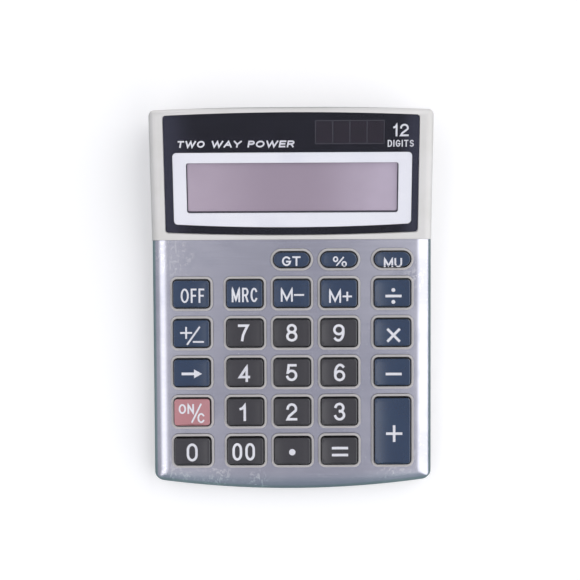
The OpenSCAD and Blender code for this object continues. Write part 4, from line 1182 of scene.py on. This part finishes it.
def solar_strips():
    """The cell's dark strips on their backing, with thin gaps between them."""
    panel = SOLAR_PANEL
    w, l = panel.w - 2 * SOLAR_EDGE, panel.l - 2 * SOLAR_EDGE
    each = (w - SOLAR_LINE * (SOLAR_CELLS + 1)) / SOLAR_CELLS
    shape = Shape()
    for i in range(SOLAR_CELLS):
        x = panel.x - w / 2 + SOLAR_LINE + each / 2 + i * (each + SOLAR_LINE)
        strip = rounded(each, l - 2 * SOLAR_LINE, STRIP_R, 1) + (x, panel.p + panel.l / 2)
        slab(shape, strip, SOLAR_TOP - STRIP_T, SOLAR_TOP)
    piece(on_hood(shape, "solar_strips"), "case", SOLAR, "solar")


def window_lettering():
    """A digit count and a plain power note; the rest of the panel stays bare."""
    right, count_v, note_v = WINDOW_PANEL.w / 2, WINDOW_PANEL.p + COUNT_P, WINDOW_PANEL.p + NOTE_P
    note = [
        line for word, x, w, gap in NOTE_WORDS
        for line in word_lines(word, x, note_v, w, NOTE_H, NOTE_STROKE, gap)
    ]
    slanted = [line + (line[:, 1:] - note_v) * (NOTE_SLANT, 0) for line in note]
    count = [(digit, right - x, count_v, w, COUNT_H) for digit, x, w in COUNT_DIGITS]
    unit = word_lines("DIGITS", right - UNIT_X, note_v, UNIT_W, NOTE_H, UNIT_STROKE, UNIT_GAP)
    shape = Shape()
    for areas in (printed(COUNT_STROKE, count), inked(unit, UNIT_STROKE), inked(slanted, NOTE_STROKE)):
        raised(shape, areas, level(-WINDOW_UNDER + 2 * PRINT_T), level(-WINDOW_UNDER + PRINT_T))
    piece(on_hood(shape, "window_lettering"), "case", WHITE_INK, "window")


# ---- parts ----

# CAD nodes whose sharp edges are rounded, and by how much
SOFTENED = {
    "lower_case": 0.3, "battery_door": 0.15, "lcd_glass": 0.1, "lcd_holder": 0.1,
    "main_board": 0.05, "rubber_feet": 0.3, "case_screws": 0.1, "battery_cell": 0.15,
}


def cad_materials():
    """Gives the CAD nodes that stay their looks and their rounded edges."""
    for node, material in NODE_MATERIALS.items():
        NODES[node].data.materials.clear()
        NODES[node].data.materials.append(material)
    for node, width in SOFTENED.items():
        soften(NODES[node], width)


cad_materials()
upper_shell()
faceplate()
keys()
key_mat()
display()

# ---- camera, lights and floor ----

CAMERA_HEIGHT = 487.5
CAMERA_X, CAMERA_Y = -0.75, 4.25
CAMERA_LENS, CAMERA_SENSOR = 75.8, 36
CAMERA_NEAR = 10
CAMERA_ROLL = -0.3


def add_camera():
    """Straight above the case."""
    data = bpy.data.cameras.new("camera")
    data.lens = CAMERA_LENS
    data.sensor_width = CAMERA_SENSOR
    data.clip_start = CAMERA_NEAR * MM
    camera = bpy.data.objects.new("camera", data)
    camera.location = (CAMERA_X * MM, CAMERA_Y * MM, CAMERA_HEIGHT * MM)
    camera.rotation_euler = (0, 0, math.radians(CAMERA_ROLL))
    bpy.context.scene.collection.objects.link(camera)
    bpy.context.scene.camera = camera


FLOOR_WHITE = srgb(252, 252, 252)
FLOOR_SEEN_IN_GLOSS = (0.2, 0.28, 0.27, 1)
FLOOR_BOUNCE = (0.5, 0.5, 0.52, 1)
FLOOR_LIFT = 0.13
FLOOR_REACH = 3000
WHITE = (1, 1, 1, 1)


def add_floor():
    """A pale floor: what the camera sees of it is lifted to white, and still takes the shadow."""
    corners = [(x * FLOOR_REACH, y * FLOOR_REACH, 0) for x, y in ((-1, -1), (1, -1), (1, 1), (-1, 1))]
    shape = Shape()
    shape.add(corners, [(0, 1, 2, 3)])
    floor = shape.build("floor")
    m = Material("floor", FLOOR_WHITE, Roughness=1.0, Specular_IOR_Level=0, Emission_Color=WHITE)
    m.feed(m.shader, Emission_Strength=m.math("MULTIPLY", m.ray("Is Camera Ray"), FLOOR_LIFT))
    unseen = m.mix(m.ray("Is Glossy Ray"), FLOOR_BOUNCE, FLOOR_SEEN_IN_GLOSS)
    m.colour(m.mix(m.ray("Is Camera Ray"), unseen, FLOOR_WHITE))
    floor.data.materials.append(m.material)


# Two long soft boxes. Their inner and outer edges fade in between angles to the right of straight up
LEFT_EDGES, RIGHT_EDGES = ((-9, -25), (-58, -43)), ((9, 20), (112, 98))
LEFT_BOX, RIGHT_BOX = (1.34, 1.34, 1.36, 1), (1.5, 1.5, 1.53, 1)
OVERHEAD, FRONT_LOW = (0.41, 0.41, 0.45, 1), (0.29, 0.34, 0.38, 1)


def add_world():
    """A wide soft box to each side of a darker strip overhead; the camera sees plain white."""
    world = bpy.data.worlds.new("studio")
    world.use_nodes = True
    bpy.context.scene.world = world
    t = Tree(world.node_tree, "Generated")
    right, up, back = t.axis("X"), t.axis("Z"), t.axis("Y")
    angle = t.math("ARCTAN2", right, up)
    ends = t.math("MULTIPLY", t.ramp(back, -0.9, -0.6), t.ramp(back, 0.95, 0.75))

    def box(edges):
        inner, outer = (t.ramp(angle, math.radians(low), math.radians(high)) for low, high in edges)
        return t.math("MULTIPLY", t.math("MULTIPLY", inner, outer), ends)

    dark = t.mix(t.ramp(back, -0.95, -0.4), FRONT_LOW, OVERHEAD)
    light = t.mix(box(RIGHT_EDGES), t.mix(box(LEFT_EDGES), dark, LEFT_BOX), RIGHT_BOX)
    t.feed(t.nodes["Background"], Color=t.mix(t.ray("Is Camera Ray"), light, WHITE))


add_camera()
add_floor()
add_world()
bpy.context.scene.view_settings.view_transform = "Standard"
